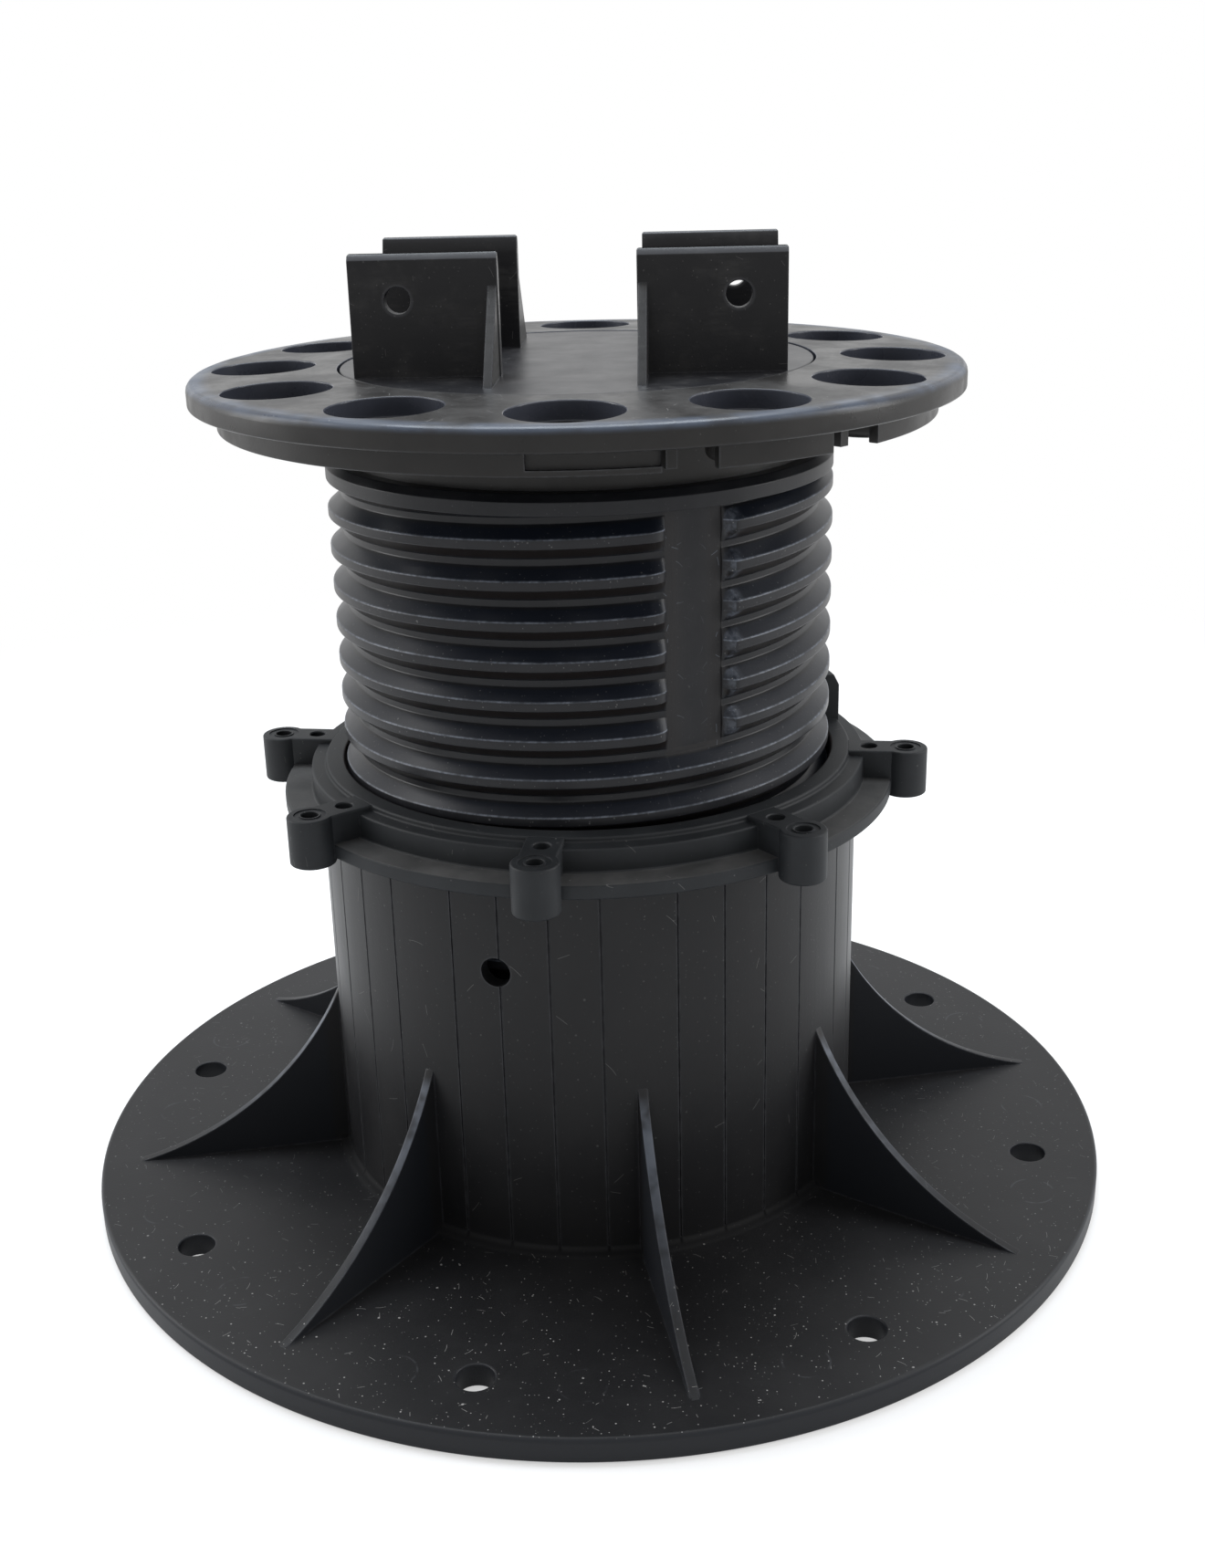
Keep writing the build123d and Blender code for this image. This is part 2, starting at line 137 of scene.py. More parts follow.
class FootSizes(PropertyGroup):
    """Sizes of the round foot and its tube"""

    flange_thickness: length("Flange", 0.0045, "Thickness of the flange")
    flange_edge: length("Flange edge", 0.0009, "Rounding of the flange's upper edge")
    tube_radius: length("Tube", 0.051, "Outer radius of the tube")
    tube_wall: length("Tube wall", 0.0028, "Thickness of the tube's wall")
    tube_foot: length("Tube foot", 0.0018, "Hollow rounding where the tube meets the flange")
    bearing: angle("First gusset", 12.4, "Bearing of the first gusset")
    gussets: IntProperty(name="Gussets", default=8, min=1, description="Number of gussets")
    hole_after: angle("Holes", 21.8, "Angle from a gusset to the fixing hole after it")
    gusset_thickness: length("Gusset", 0.0018, "Thickness of a gusset")
    gusset_reach: length("Gusset reach", 0.0926, "Radius where a gusset runs out")
    gusset_top: length("Gusset top", 0.038, "Height where a gusset leaves the tube")
    gusset_sag: length("Gusset sag", 0.0062, "Hollow of a gusset's curved edge")
    seam_step: angle("Seam step", 10, "Angle between neighbouring seams of the tube")
    seam_width: length("Seam width", 0.0004, "Width of a seam at the surface")
    seam_depth: length("Seam depth", 0.0003, "Depth of a seam")
    side_hole_radius: length("Side hole", 0.0027, "Radius of the hole in the tube's side")
    side_hole_height: length("Side hole height", 0.0602, "Height of that hole's centre")
    side_hole_bearing: angle("Side hole bearing", -105.9, "Bearing of that hole")
    guide_rib_width: length("Guide rib", 0.002, "Width of a guide rib inside the tube")
    guide_rib_top: length("Guide rib top", 0.069, "Height of the guide ribs")
    guide_gap: length("Guide gap", 0.0005, "Running gap between the guide ribs and the riser")


class RingSizes(PropertyGroup):
    """Sizes of the adjusting ring"""

    bottom: length("Bottom", 0.0775, "Height of the ring's underside")
    top: length("Top", 0.0854, "Height of the ring's upper face")
    bore: length("Bore", 0.0462, "Radius of the bore")
    spigot_radius: length("Spigot", 0.0479, "Outer radius of the spigot in the tube's mouth")
    lip_radius: length("Lip", 0.0497, "Outer radius of the upper face")
    lip_step: length("Lip step", 0.001, "Step from the upper face down to the wall")
    wall_radius: length("Wall", 0.0524, "Outer radius of the wall")
    ledge_height: length("Ledge", 0.0801, "Height of the ledge round the wall")
    ledge_radius: length("Ledge radius", 0.0577, "Outer radius of the ledge")
    lugs: IntProperty(name="Lugs", default=8, min=1, description="Number of lugs")
    lug_bearing: angle("First lug", -5.2, "Bearing of the first lug")
    lug_circle: length("Lug circle", 0.0601, "Radius of the circle through the lugs' bosses")
    lug_radius: length("Lug boss", 0.0041, "Radius of a lug's boss")
    lug_drop: length("Lug drop", 0.001, "Reach of a boss below the ring's underside")
    lug_arm: length("Lug arm", 0.0064, "Width of a lug's arm")
    lug_hole: length("Lug hole", 0.0015, "Radius of the hole through a boss")
    pip_circle: length("Pip circle", 0.0533, "Radius of the circle through the blind holes")
    pip_depth: length("Pip depth", 0.002, "Depth of a blind hole")
    edge: length("Edges", 0.0004, "Rounding of the ring's edges")
    tab_bearing: angle("Tab", 13, "Bearing where the tab starts")
    tab_sweep: angle("Tab sweep", 13, "Angle that the tab covers")
    tab_inner: length("Tab inside", 0.0472, "Radius of the tab's inner face")
    tab_thickness: length("Tab thickness", 0.0028, "Thickness of the tab")
    tab_bevel: length("Tab bevel", 0.0022, "Height of the bevel on the tab's outer top edge")
    thread_gap: length("Thread gap", 0.0003, "Running gap between the two threads' flanks")
    thread_clearance: length("Thread clearance", 0.0005, "Gap over the riser's groove floor")


class RiserSizes(PropertyGroup):
    """Sizes of the threaded riser"""

    pitch: length("Pitch", 0.0068, "Rise of the thread in one turn")
    root: length("Root", 0.0432, "Radius at the root of the thread")
    bore: length("Bore", 0.0406, "Radius of the bore")
    crest_flat: length("Crest", 0.0015, "Width of the thread's crest")
    root_flat: length("Root flat", 0.0011, "Width of the groove's floor")
    crest_round: length("Crest edge", 0.00035, "Rounding of the crest's edges")
    crest_height: length("Crest height", 0.0881, "Height of a crest at bearing zero")
    band_bottom: length("Band", 0.1384, "Height where the plain band starts")
    band_bevel: length("Band bevel", 0.0012, "Bevel at the top of the band")
    flat_bearing: angle("Flat", -61.6, "Bearing of the first of the two flats")
    flat_width: length("Flat width", 0.0104, "Width of a flat")
    flat_depth: length("Flat depth", 0.00006, "Depth of a flat's edges below the root")
    flat_bottom: length("Flat bottom", 0.0965, "Height near which the flats start, in mid-groove")
    ramp_width: length("Ramp", 0.0034, "Width of the straight ramps beside a flat")
    ramp_step: length("Ramp step", 0.0003, "Step at the foot of a straight ramp")
    shoulder_width: length("Shoulder", 0.0046, "Width of the rounded shoulders beside a flat")


class HeadSizes(PropertyGroup):
    """Sizes of the head plate"""

    rim_height: length("Rim", 0.1564, "Height of the plate at its rim")
    crown: length("Crown", 0.0007, "Rise of the plate towards its recess")
    edge: length("Edge", 0.0015, "Rounding of the plate's upper edge")
    underside: length("Underside", 0.1524, "Height of the plate's underside")
    skirt_radius: length("Skirt", 0.0637, "Outer radius of the skirt")
    skirt_wall: length("Skirt wall", 0.0017, "Thickness of the skirt")
    skirt_bottom: length("Skirt bottom", 0.1482, "Height of the skirt's lower edge")
    neck_radius: length("Neck", 0.0424, "Outer radius of the neck")
    stem_radius: length("Stem", 0.0405, "Outer radius of the stem in the riser")
    stem_wall: length("Stem wall", 0.0026, "Thickness of the stem")
    recess_radius: length("Recess", 0.0423, "Radius of the recess")
    recess_floor: length("Recess floor", 0.1536, "Height of the recess's floor")
    floor_thickness: length("Floor", 0.0026, "Thickness of the recess's floor")
    pivot_bore: length("Pivot bore", 0.0121, "Radius of the bore for the holder's pivot")
    cup_bearing: angle("First cup", 1.5, "Bearing of the first cup")
    cup_radius: length("Cup", 0.0092, "Radius of a cup")
    cup_depth: length("Cup depth", 0.003, "Depth of a cup")
    boss_radius: length("Cup boss", 0.0069, "Radius of the boss under a cup")
    boss_bottom: length("Boss bottom", 0.1478, "Height of a boss's lower face")
    boss_edge: length("Boss edge", 0.0012, "Rounding of a boss's lower edge")
    rib_thickness: length("Ribs", 0.0018, "Thickness of the ribs under the plate")
    window_bearing: angle("Windows", -93.8, "Bearing where the first group of windows starts")
    panel_sweep: angle("Panel sweep", 18.3, "Angle of a shallow panel in the skirt")
    panel_depth: length("Panel depth", 0.0009, "Depth of a shallow panel")
    panel_lip: length("Panel lip", 0.001, "Height of the lip below a shallow panel")
    slot_sweep: angle("Slot sweep", 8, "Angle of the slot after a shallow panel")
    wall_sweep: angle("Wall sweep", 18.9, "Angle of whole skirt between a slot and a notch")
    notch_sweep: angle("Notch sweep", 9.8, "Angle of a notch")


class HolderSizes(PropertyGroup):
    """Sizes of the joist holder"""

    disc_radius: length("Disc", HOLDER[1].x, "Radius of the disc")
    disc_bottom: length("Disc bottom", 0.1538, "Height of the disc's underside")
    disc_top: length("Disc top", 0.157, "Height of the disc's upper face")
    disc_edge: length("Disc edge", 0.0004, "Rounding of the disc's upper edge")
    pivot_radius: length("Pivot", 0.012, "Radius of the pivot")
    pivot_wall: length("Pivot wall", 0.0024, "Thickness of the pivot")
    pivot_lip: length("Pivot lip", 0.0007, "Reach of the lip that holds the pivot")
    lip_height: length("Lip height", 0.001, "Height of that lip")
    panel_in: length("Panel start", 0.0115, "Distance from the middle to a panel")
    panel_out: length("Panel end", 0.0364, "Distance from the middle to a panel's far end")
    channel: length("Channel", 0.035, "Width of the channel between the panels")
    panel_thickness: length("Panel", 0.0026, "Thickness of a panel")
    lead_in_height: length("Lead-in", 0.003, "Height of the bevel inside a panel's top")
    lead_in_depth: length("Lead-in depth", 0.0012, "Depth of that bevel")
    bevel_height: length("Panel bevel", 0.0011, "Height of the bevel outside a panel's top")
    bevel_depth: length("Panel bevel depth", 0.0008, "Depth of that bevel")
    corner_cut: length("Panel corners", 0.0008, "Cut of a panel's upper corners")
    panel_edge: length("Panel edges", 0.00014, "Rounding of the edges of panels and braces")
    brace_thickness: length("Brace", 0.0015, "Thickness of a brace")
    brace_start: length("Brace start", 0.0002, "Distance from a panel's end to its brace")
    brace_rise: length("Brace rise", 0.0148, "Height of a brace")
    brace_reach: length("Brace reach", 0.0139, "Reach of a brace beyond its panel")


class Finish(PropertyGroup):
    """Colours, wear, and painted light and shade of the moulded plastic"""

    foot: colour("Foot", (0.0095, 0.0095, 0.0105), "Plastic of the foot")
    foot_pale: colour("Foot, pale", (0.013, 0.0128, 0.0135), "Paler blots of the foot")
    # Painted reflection: bluish tone for the gussets' side faces
    gusset: colour("Gussets", (0.0105, 0.012, 0.0155), "Side faces of the gussets")
    ring: colour("Ring", (0.013, 0.0145, 0.0165), "Plastic of the adjusting ring")
    ring_pale: colour("Ring, pale", (0.019, 0.021, 0.0235), "Paler blots of the ring")
    riser: colour("Riser", (0.008, 0.0085, 0.0105), "Plastic of the riser")
    riser_pale: colour("Riser, pale", (0.012, 0.0125, 0.0145), "Paler blots of the riser")
    # Painted reflection: bluish tone of the thread's upward-facing flanks
    upper_flank_reflection: colour("Upper flank", (0.006, 0.0085, 0.015), "Upper flanks of the thread")
    # Painted shade: brown darkening of the thread's downward-facing flanks
    lower_flank_shade: colour("Lower flank", (0.0085, 0.006, 0.005), "Lower flanks of the thread")
    # Painted highlight: paler tone of the thread's crests
    crest: colour("Crest", (0.0165, 0.0168, 0.02), "Crests of the thread")
    # Painted highlight: shining lines on the crests' upper edges, the ramps and the gussets' tops;
    # also pale scuffs on the flats
    highlight_and_scuffs: colour("Bright edge", (0.17, 0.19, 0.23), "Shining upper edges of the crests")
    flat: colour("Flat", (0.021, 0.0195, 0.0195), "The two flats beside the thread")
    head: colour("Head", (0.0115, 0.0108, 0.0105), "Plastic of the head plate")
    head_pale: colour("Head, pale", (0.0165, 0.0155, 0.0148), "Paler blots of the head plate")
    rim: colour("Rim", (0.06, 0.075, 0.105), "Bluish shine on the head plate's rounded rim")
    # Painted reflection: pale bluish tone of the cups' walls
    cup: colour("Cups", (0.055, 0.06, 0.078), "Walls of the head plate's cups")
    holder: colour("Holder", (0.0065, 0.0065, 0.008), "Plastic of the joist holder")
    holder_pale: colour("Holder, pale", (0.01, 0.0098, 0.011), "Paler blots of the holder")
    dust: colour("Dust", (0.42, 0.41, 0.4), "Dust, specks and fibres")
    # Pale wear of edges and mould marks, also used for painted highlights along edges and on the
    # holder's top bevels
    wear_and_highlight: colour("Worn edge", (0.075, 0.077, 0.085), "Plastic that is rubbed pale at its edges")
    # Painted shade: darkening where the tube meets the flange and along the tube's seams
    shadow: colour("Dark joint", (0.003, 0.003, 0.0035), "Grime where the tube meets the flange")
    # Painted shadow: reddish dark line in the ring's bore, against the riser
    warm_shadow: colour("Bore", (0.012, 0.004, 0.0035), "Reddish grime in the ring's bore")


class StageSettings(PropertyGroup):
    """Floor, lamps and camera"""

    floor: colour("Floor", (1.0, 1.0, 1.0), "Colour of the floor and the surroundings")
    side_power: FloatProperty(
        name="Side lamps", default=4.0, min=0.0, unit="POWER", description="Power of a side lamp"
    )
    top_power: FloatProperty(
        name="Top lamp", default=9.0, min=0.0, unit="POWER", description="Power of the top lamp"
    )
    top_colour: colour("Top lamp colour", (0.86, 0.93, 1.0), "Colour of the top lamp")
    world_light: share("World light", 0.45, "Strength of the light from all round")
    shadow_share: share("Shadow", 0.5, "Depth of the shadow on the floor")
    shadow_reach: length("Shadow reach", 0.45, "Radius beyond which the floor is plain white")
    floor_size: length("Floor size", 3.0, "Distance from the floor's middle to its sides")
    floor_gap: length("Floor gap", 0.0002, "Distance from the foot's underside to the floor")
    aim_height: length("Lamp aim", 0.09, "Height on the axis at which the lamps point")
    lens: FloatProperty(
        name="Lens", default=41.88, min=1.0, subtype="DISTANCE_CAMERA", description="Focal length"
    )
    camera_distance: length("Camera distance", 0.33037, "Level distance from axis to camera")
    camera_height: length("Camera height", 0.19979, "Height of the camera")
    camera_bearing: angle("Camera bearing", 3.5, "Turn of the camera round the axis")
    camera_pitch: angle("Camera pitch", 20.512, "Angle by which the camera looks down")
    camera_yaw: angle("Camera yaw", 0.4584, "Angle by which the camera looks past the axis")
    camera_roll: angle("Camera roll", 1.4897, "Tilt of the camera")


class PedestalSettings(PropertyGroup):
    """Everything that can be changed on the pedestal and its stage"""

    foot: PointerProperty(type=FootSizes, name="Foot", description="Sizes of the foot")
    ring: PointerProperty(type=RingSizes, name="Ring", description="Sizes of the ring")
    riser: PointerProperty(type=RiserSizes, name="Riser", description="Sizes of the riser")
    head: PointerProperty(type=HeadSizes, name="Head", description="Sizes of the head plate")
    holder: PointerProperty(type=HolderSizes, name="Holder", description="Sizes of the holder")
    finish: PointerProperty(type=Finish, name="Finish", description="Colours and wear")
    stage: PointerProperty(type=StageSettings, name="Stage", description="Floor, lamps, camera")


def arc(centre, start, end, steps):
    """Points of the shorter arc round a centre, between two places given from it."""
    turn = math.atan2(start.cross(end), start.dot(end))
    first = math.atan2(start.y, start.x)
    bearings = [first + turn * k / steps for k in range(steps + 1)]
    return [centre + start.length * Vector((math.cos(b), math.sin(b))) for b in bearings]


def rounded(outline, radii, steps=4):
    """Outline of 2-D points, with the corners named in radii turned into arcs."""
    points = []
    for i, corner in enumerate(outline):
        here = Vector(corner)
        radius = radii.get(i, 0.0)
        if not radius:
            points.append(here)
            continue
        back = (Vector(outline[i - 1]) - here).normalized()
        on = (Vector(outline[(i + 1) % len(outline)]) - here).normalized()
        half = back.angle(on) / 2
        centre = here + (back + on).normalized() * radius / math.sin(half)
        start = here + back * radius / math.tan(half) - centre
        end = here + on * radius / math.tan(half) - centre
        points += arc(centre, start, end, steps)
    return points


def sagging(start, end, sag, steps):
    """Points of the arc from start to end that bows to the right of its chord by the sag."""
    start, end = Vector(start), Vector(end)
    chord = end - start
    side = Vector((chord.y, -chord.x)).normalized()
    radius = (chord.length_squared / 4 + sag * sag) / (2 * sag)
    centre = (start + end) / 2 - side * (radius - sag)
    return arc(centre, start - centre, end - centre, steps)


def made(name, bm):
    """Object from a bmesh, with its faces turned outwards."""
    bmesh.ops.remove_doubles(bm, verts=bm.verts, dist=MERGE)
    bare = [edge for edge in bm.edges if not edge.link_faces]
    bmesh.ops.delete(bm, geom=bare, context="EDGES")
    bmesh.ops.recalc_face_normals(bm, faces=bm.faces)
    mesh = bpy.data.meshes.new(name)
    bm.to_mesh(mesh)
    bm.free()
    piece = bpy.data.objects.new(name, mesh)
    bpy.context.scene.collection.objects.link(piece)
    return piece


def turned(name, outline, steps, start=0.0, sweep=math.tau):
    """Solid turned about Z from (radius, height) points, all round or over an angle."""
    bm = bmesh.new()
    whole = sweep >= math.tau
    rings = []
    for k in range(steps if whole else steps + 1):
        bearing = start + sweep * k / steps
        cos, sin = math.cos(bearing), math.sin(bearing)
        rings.append([bm.verts.new((r * cos, r * sin, z)) for r, z in outline])
    for k in range(steps):
        here, there = rings[k], rings[(k + 1) % len(rings)]
        for i in range(len(outline)):
            j = (i + 1) % len(outline)
            bm.faces.new((here[i], there[i], there[j], here[j]))
    if not whole:
        bm.faces.new(rings[0])
        bm.faces.new(list(reversed(rings[-1])))
    return made(name, bm)


def wound(name, section, low, high, height_at_zero, pitch, steps_per_turn):
    """Ridge of the given (radius, height) section, wound up from one height to another."""
    bm = bmesh.new()
    turns = (high - low) / pitch
    steps = max(2, round(turns * steps_per_turn))
    rings = []
    for k in range(steps + 1):
        height = low + (high - low) * k / steps
        bearing = math.tau * (height - height_at_zero) / pitch
        cos, sin = math.cos(bearing), math.sin(bearing)
        rings.append([bm.verts.new((r * cos, r * sin, height + z)) for r, z in section])
    for here, there in zip(rings, rings[1:]):
        for i in range(len(section)):
            j = (i + 1) % len(section)
            bm.faces.new((here[i], there[i], there[j], here[j]))
    bm.faces.new(rings[0])
    bm.faces.new(list(reversed(rings[-1])))
    return made(name, bm)


def prism(name, outline, direction, low, high):
    """Solid pushed out from a flat outline along X, Y or Z, between two places on that axis."""
    place = {
        "X": lambda a, b, c: (c, a, b),
        "Y": lambda a, b, c: (a, c, b),
        "Z": lambda a, b, c: (a, b, c),
    }[direction]
    bm = bmesh.new()
    ends = [[bm.verts.new(place(a, b, c)) for a, b in outline] for c in (low, high)]
    bm.faces.new(ends[0])
    bm.faces.new(list(reversed(ends[1])))
    for i in range(len(outline)):
        j = (i + 1) % len(outline)
        bm.faces.new((ends[0][i], ends[1][i], ends[1][j], ends[0][j]))
    return made(name, bm)


def block(name, low, high):
    """Box between two corners."""
    outline = [(low[0], low[1]), (high[0], low[1]), (high[0], high[1]), (low[0], high[1])]
    return prism(name, outline, "Z", low[2], high[2])


def bevelled(piece, width, wanted=None, segments=2):
    """Rounds the sharp edges of a simple piece, or only those whose two ends pass a test."""
    bm = bmesh.new()
    bm.from_mesh(piece.data)
    edges = [e for e in bm.edges if len(e.link_faces) == 2 and e.calc_face_angle() > SHARP_EDGE]
    if wanted:
        edges = [e for e in edges if all(wanted(v.co) for v in e.verts)]
    bmesh.ops.bevel(
        bm,
        geom=edges,
        offset=width,
        segments=segments,
        profile=0.5,
        affect="EDGES",
        clamp_overlap=True,
    )
    bm.to_mesh(piece.data)
    bm.free()
    return piece


def around(piece, count, bearing):
    """Turns a piece into a ring of copies of itself, at equal steps about Z."""
    bm = bmesh.new()
    for k in range(count):
        copy = piece.data.copy()
        copy.transform(Matrix.Rotation(bearing + math.tau * k / count, 4, "Z"))
        bm.from_mesh(copy)
        bpy.data.meshes.remove(copy)
    bm.to_mesh(piece.data)
    bm.free()
    return piece


def moved(piece, x=0.0, y=0.0, z=0.0):
    """Shifts a piece's mesh, so that its object stays at the origin."""
    piece.data.transform(Matrix.Translation((x, y, z)))
    return piece


def joined(*pieces):
    """One object that holds the meshes of several pieces."""
    bm = bmesh.new()
    for piece in pieces:
        bm.from_mesh(piece.data)
    bm.to_mesh(pieces[0].data)
    bm.free()
    for piece in pieces[1:]:
        bpy.data.objects.remove(piece)
    return pieces[0]


def settled(piece):
    """Bakes a piece's modifiers into its mesh."""
    depsgraph = bpy.context.evaluated_depsgraph_get()
    mesh = bpy.data.meshes.new_from_object(piece.evaluated_get(depsgraph))
    piece.modifiers.clear()
    piece.data = mesh
    return piece


def combined(piece, tool, operation):
    """Cuts a tool out of a piece, or unites them, and removes the tool."""
    modifier = piece.modifiers.new(operation, "BOOLEAN")
    modifier.operation = operation
    modifier.solver = "MANIFOLD"
    modifier.object = tool
    settled(piece)
    bpy.data.objects.remove(tool)
    if not len(piece.data.polygons):
        raise RuntimeError(f"{piece.name} was lost in a {operation.lower()}")
    return piece


def cut(piece, *tools):
    """Cuts tools that don't overlap out of a piece."""
    return combined(piece, joined(*tools), "DIFFERENCE")


def united(piece, *others):
    """Unites a piece with others, one after another."""
    for other in others:
        combined(piece, other, "UNION")
    return piece


def flared_hole(name, radius, flare, low, high, steps=36):
    """Tool that cuts a round hole with rounded mouths at the faces at both heights."""
    low, high = low + SKIN, high - SKIN
    wide = radius + flare
    lower = [(wide - flare * math.sin(a), low + flare - flare * math.cos(a)) for a in QUARTER]
    upper = [(wide - flare * math.cos(a), high - flare + flare * math.sin(a)) for a in QUARTER]
    outline = [(0.0, low - OVERCUT), (wide, low - OVERCUT), *lower, *upper]
    outline += [(wide, high + OVERCUT), (0.0, high + OVERCUT)]
    return turned(name, outline, steps)


def dressed(piece, body, node, material):
    """Smooths a finished piece, gives it its material and puts it in its CAD node's place."""
    mesh = piece.data
    mesh.polygons.foreach_set("use_smooth", [True] * len(mesh.polygons))
    mesh.set_sharp_from_angle(angle=SHARP_EDGE)
    normals = piece.modifiers.new("weighted normals", "WEIGHTED_NORMAL")
    normals.keep_sharp = True
    settled(piece)
    piece.data.materials.clear()
    piece.data.materials.append(material)
    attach(piece, body)
    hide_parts(node)
    return piece


class Field:
    """A socket of a material's nodes, on which maths is written as plain expressions."""

    def __init__(self, nodes, socket):
        self.nodes = nodes
        self.socket = socket

    def math(self, operation, *others, reflected=False, clamp=False):
        """Result of a Math node on this field and others, which come first if reflected."""
        values = (*others, self) if reflected else (self, *others)
        settings = {"operation": operation, "use_clamp": clamp}
        return self.nodes.node("ShaderNodeMath", settings, dict(enumerate(values)))

    def __add__(self, other):
        return self.math("ADD", other)

    def __radd__(self, other):
        return self.math("ADD", other, reflected=True)

    def __sub__(self, other):
        return self.math("SUBTRACT", other)

    def __rsub__(self, other):
        return self.math("SUBTRACT", other, reflected=True)

    def __mul__(self, other):
        return self.math("MULTIPLY", other)

    def __rmul__(self, other):
        return self.math("MULTIPLY", other, reflected=True)

    def __truediv__(self, other):
        return self.math("DIVIDE", other)

    def __rtruediv__(self, other):
        return self.math("DIVIDE", other, reflected=True)

    def __pow__(self, other):
        return self.math("POWER", other)

    def __rpow__(self, other):
        return self.math("POWER", other, reflected=True)

    def absolute(self):
        """The field without its sign."""
        return self.math("ABSOLUTE")

    def clamped(self):
        """The field, held between 0 and 1."""
        return self.math("ADD", 0.0, clamp=True)

    def rises(self, low, high):
        """Goes smoothly from 0 at low to 1 at high, or from 1 to 0 if low is the higher."""
        if low > high:
            return 1.0 - self.rises(high, low)
        settings = {"interpolation_type": "SMOOTHSTEP"}
        inputs = {"Value": self, "From Min": low, "From Max": high}
        return self.nodes.node("ShaderNodeMapRange", settings, inputs, "Result")

    def near(self, middle, reach):
        """1 at a value, falling smoothly to 0 at a reach on either side."""
        return (self - middle).absolute().rises(reach, 0.0)


def flat_length(across, along):
    """Length of a flat vector, from its two numbers."""
    return (across * across + along * along) ** 0.5


def opaque(rgb):
    """Colour with its alpha."""
    return (*rgb, 1.0)


class Nodes:
    """Builder of one node tree, whose nodes all come from one method."""

    def __init__(self, tree):
        self.tree = tree
        self.tree.nodes.clear()

    def node(self, kind, settings=None, inputs=None, output=0):
        """Adds a node with its settings, then its inputs, and gives the outputs asked for."""
        node = self.tree.nodes.new(kind)
        for setting, value in (settings or {}).items():
            setattr(node, setting, value)
        for place, value in (inputs or {}).items():
            if isinstance(value, Field):
                self.tree.links.new(value.socket, node.inputs[place])
            else:
                node.inputs[place].default_value = value
        if isinstance(output, tuple):
            return [Field(self, node.outputs[each]) for each in output]
        return Field(self, node.outputs[output]) if node.outputs else None


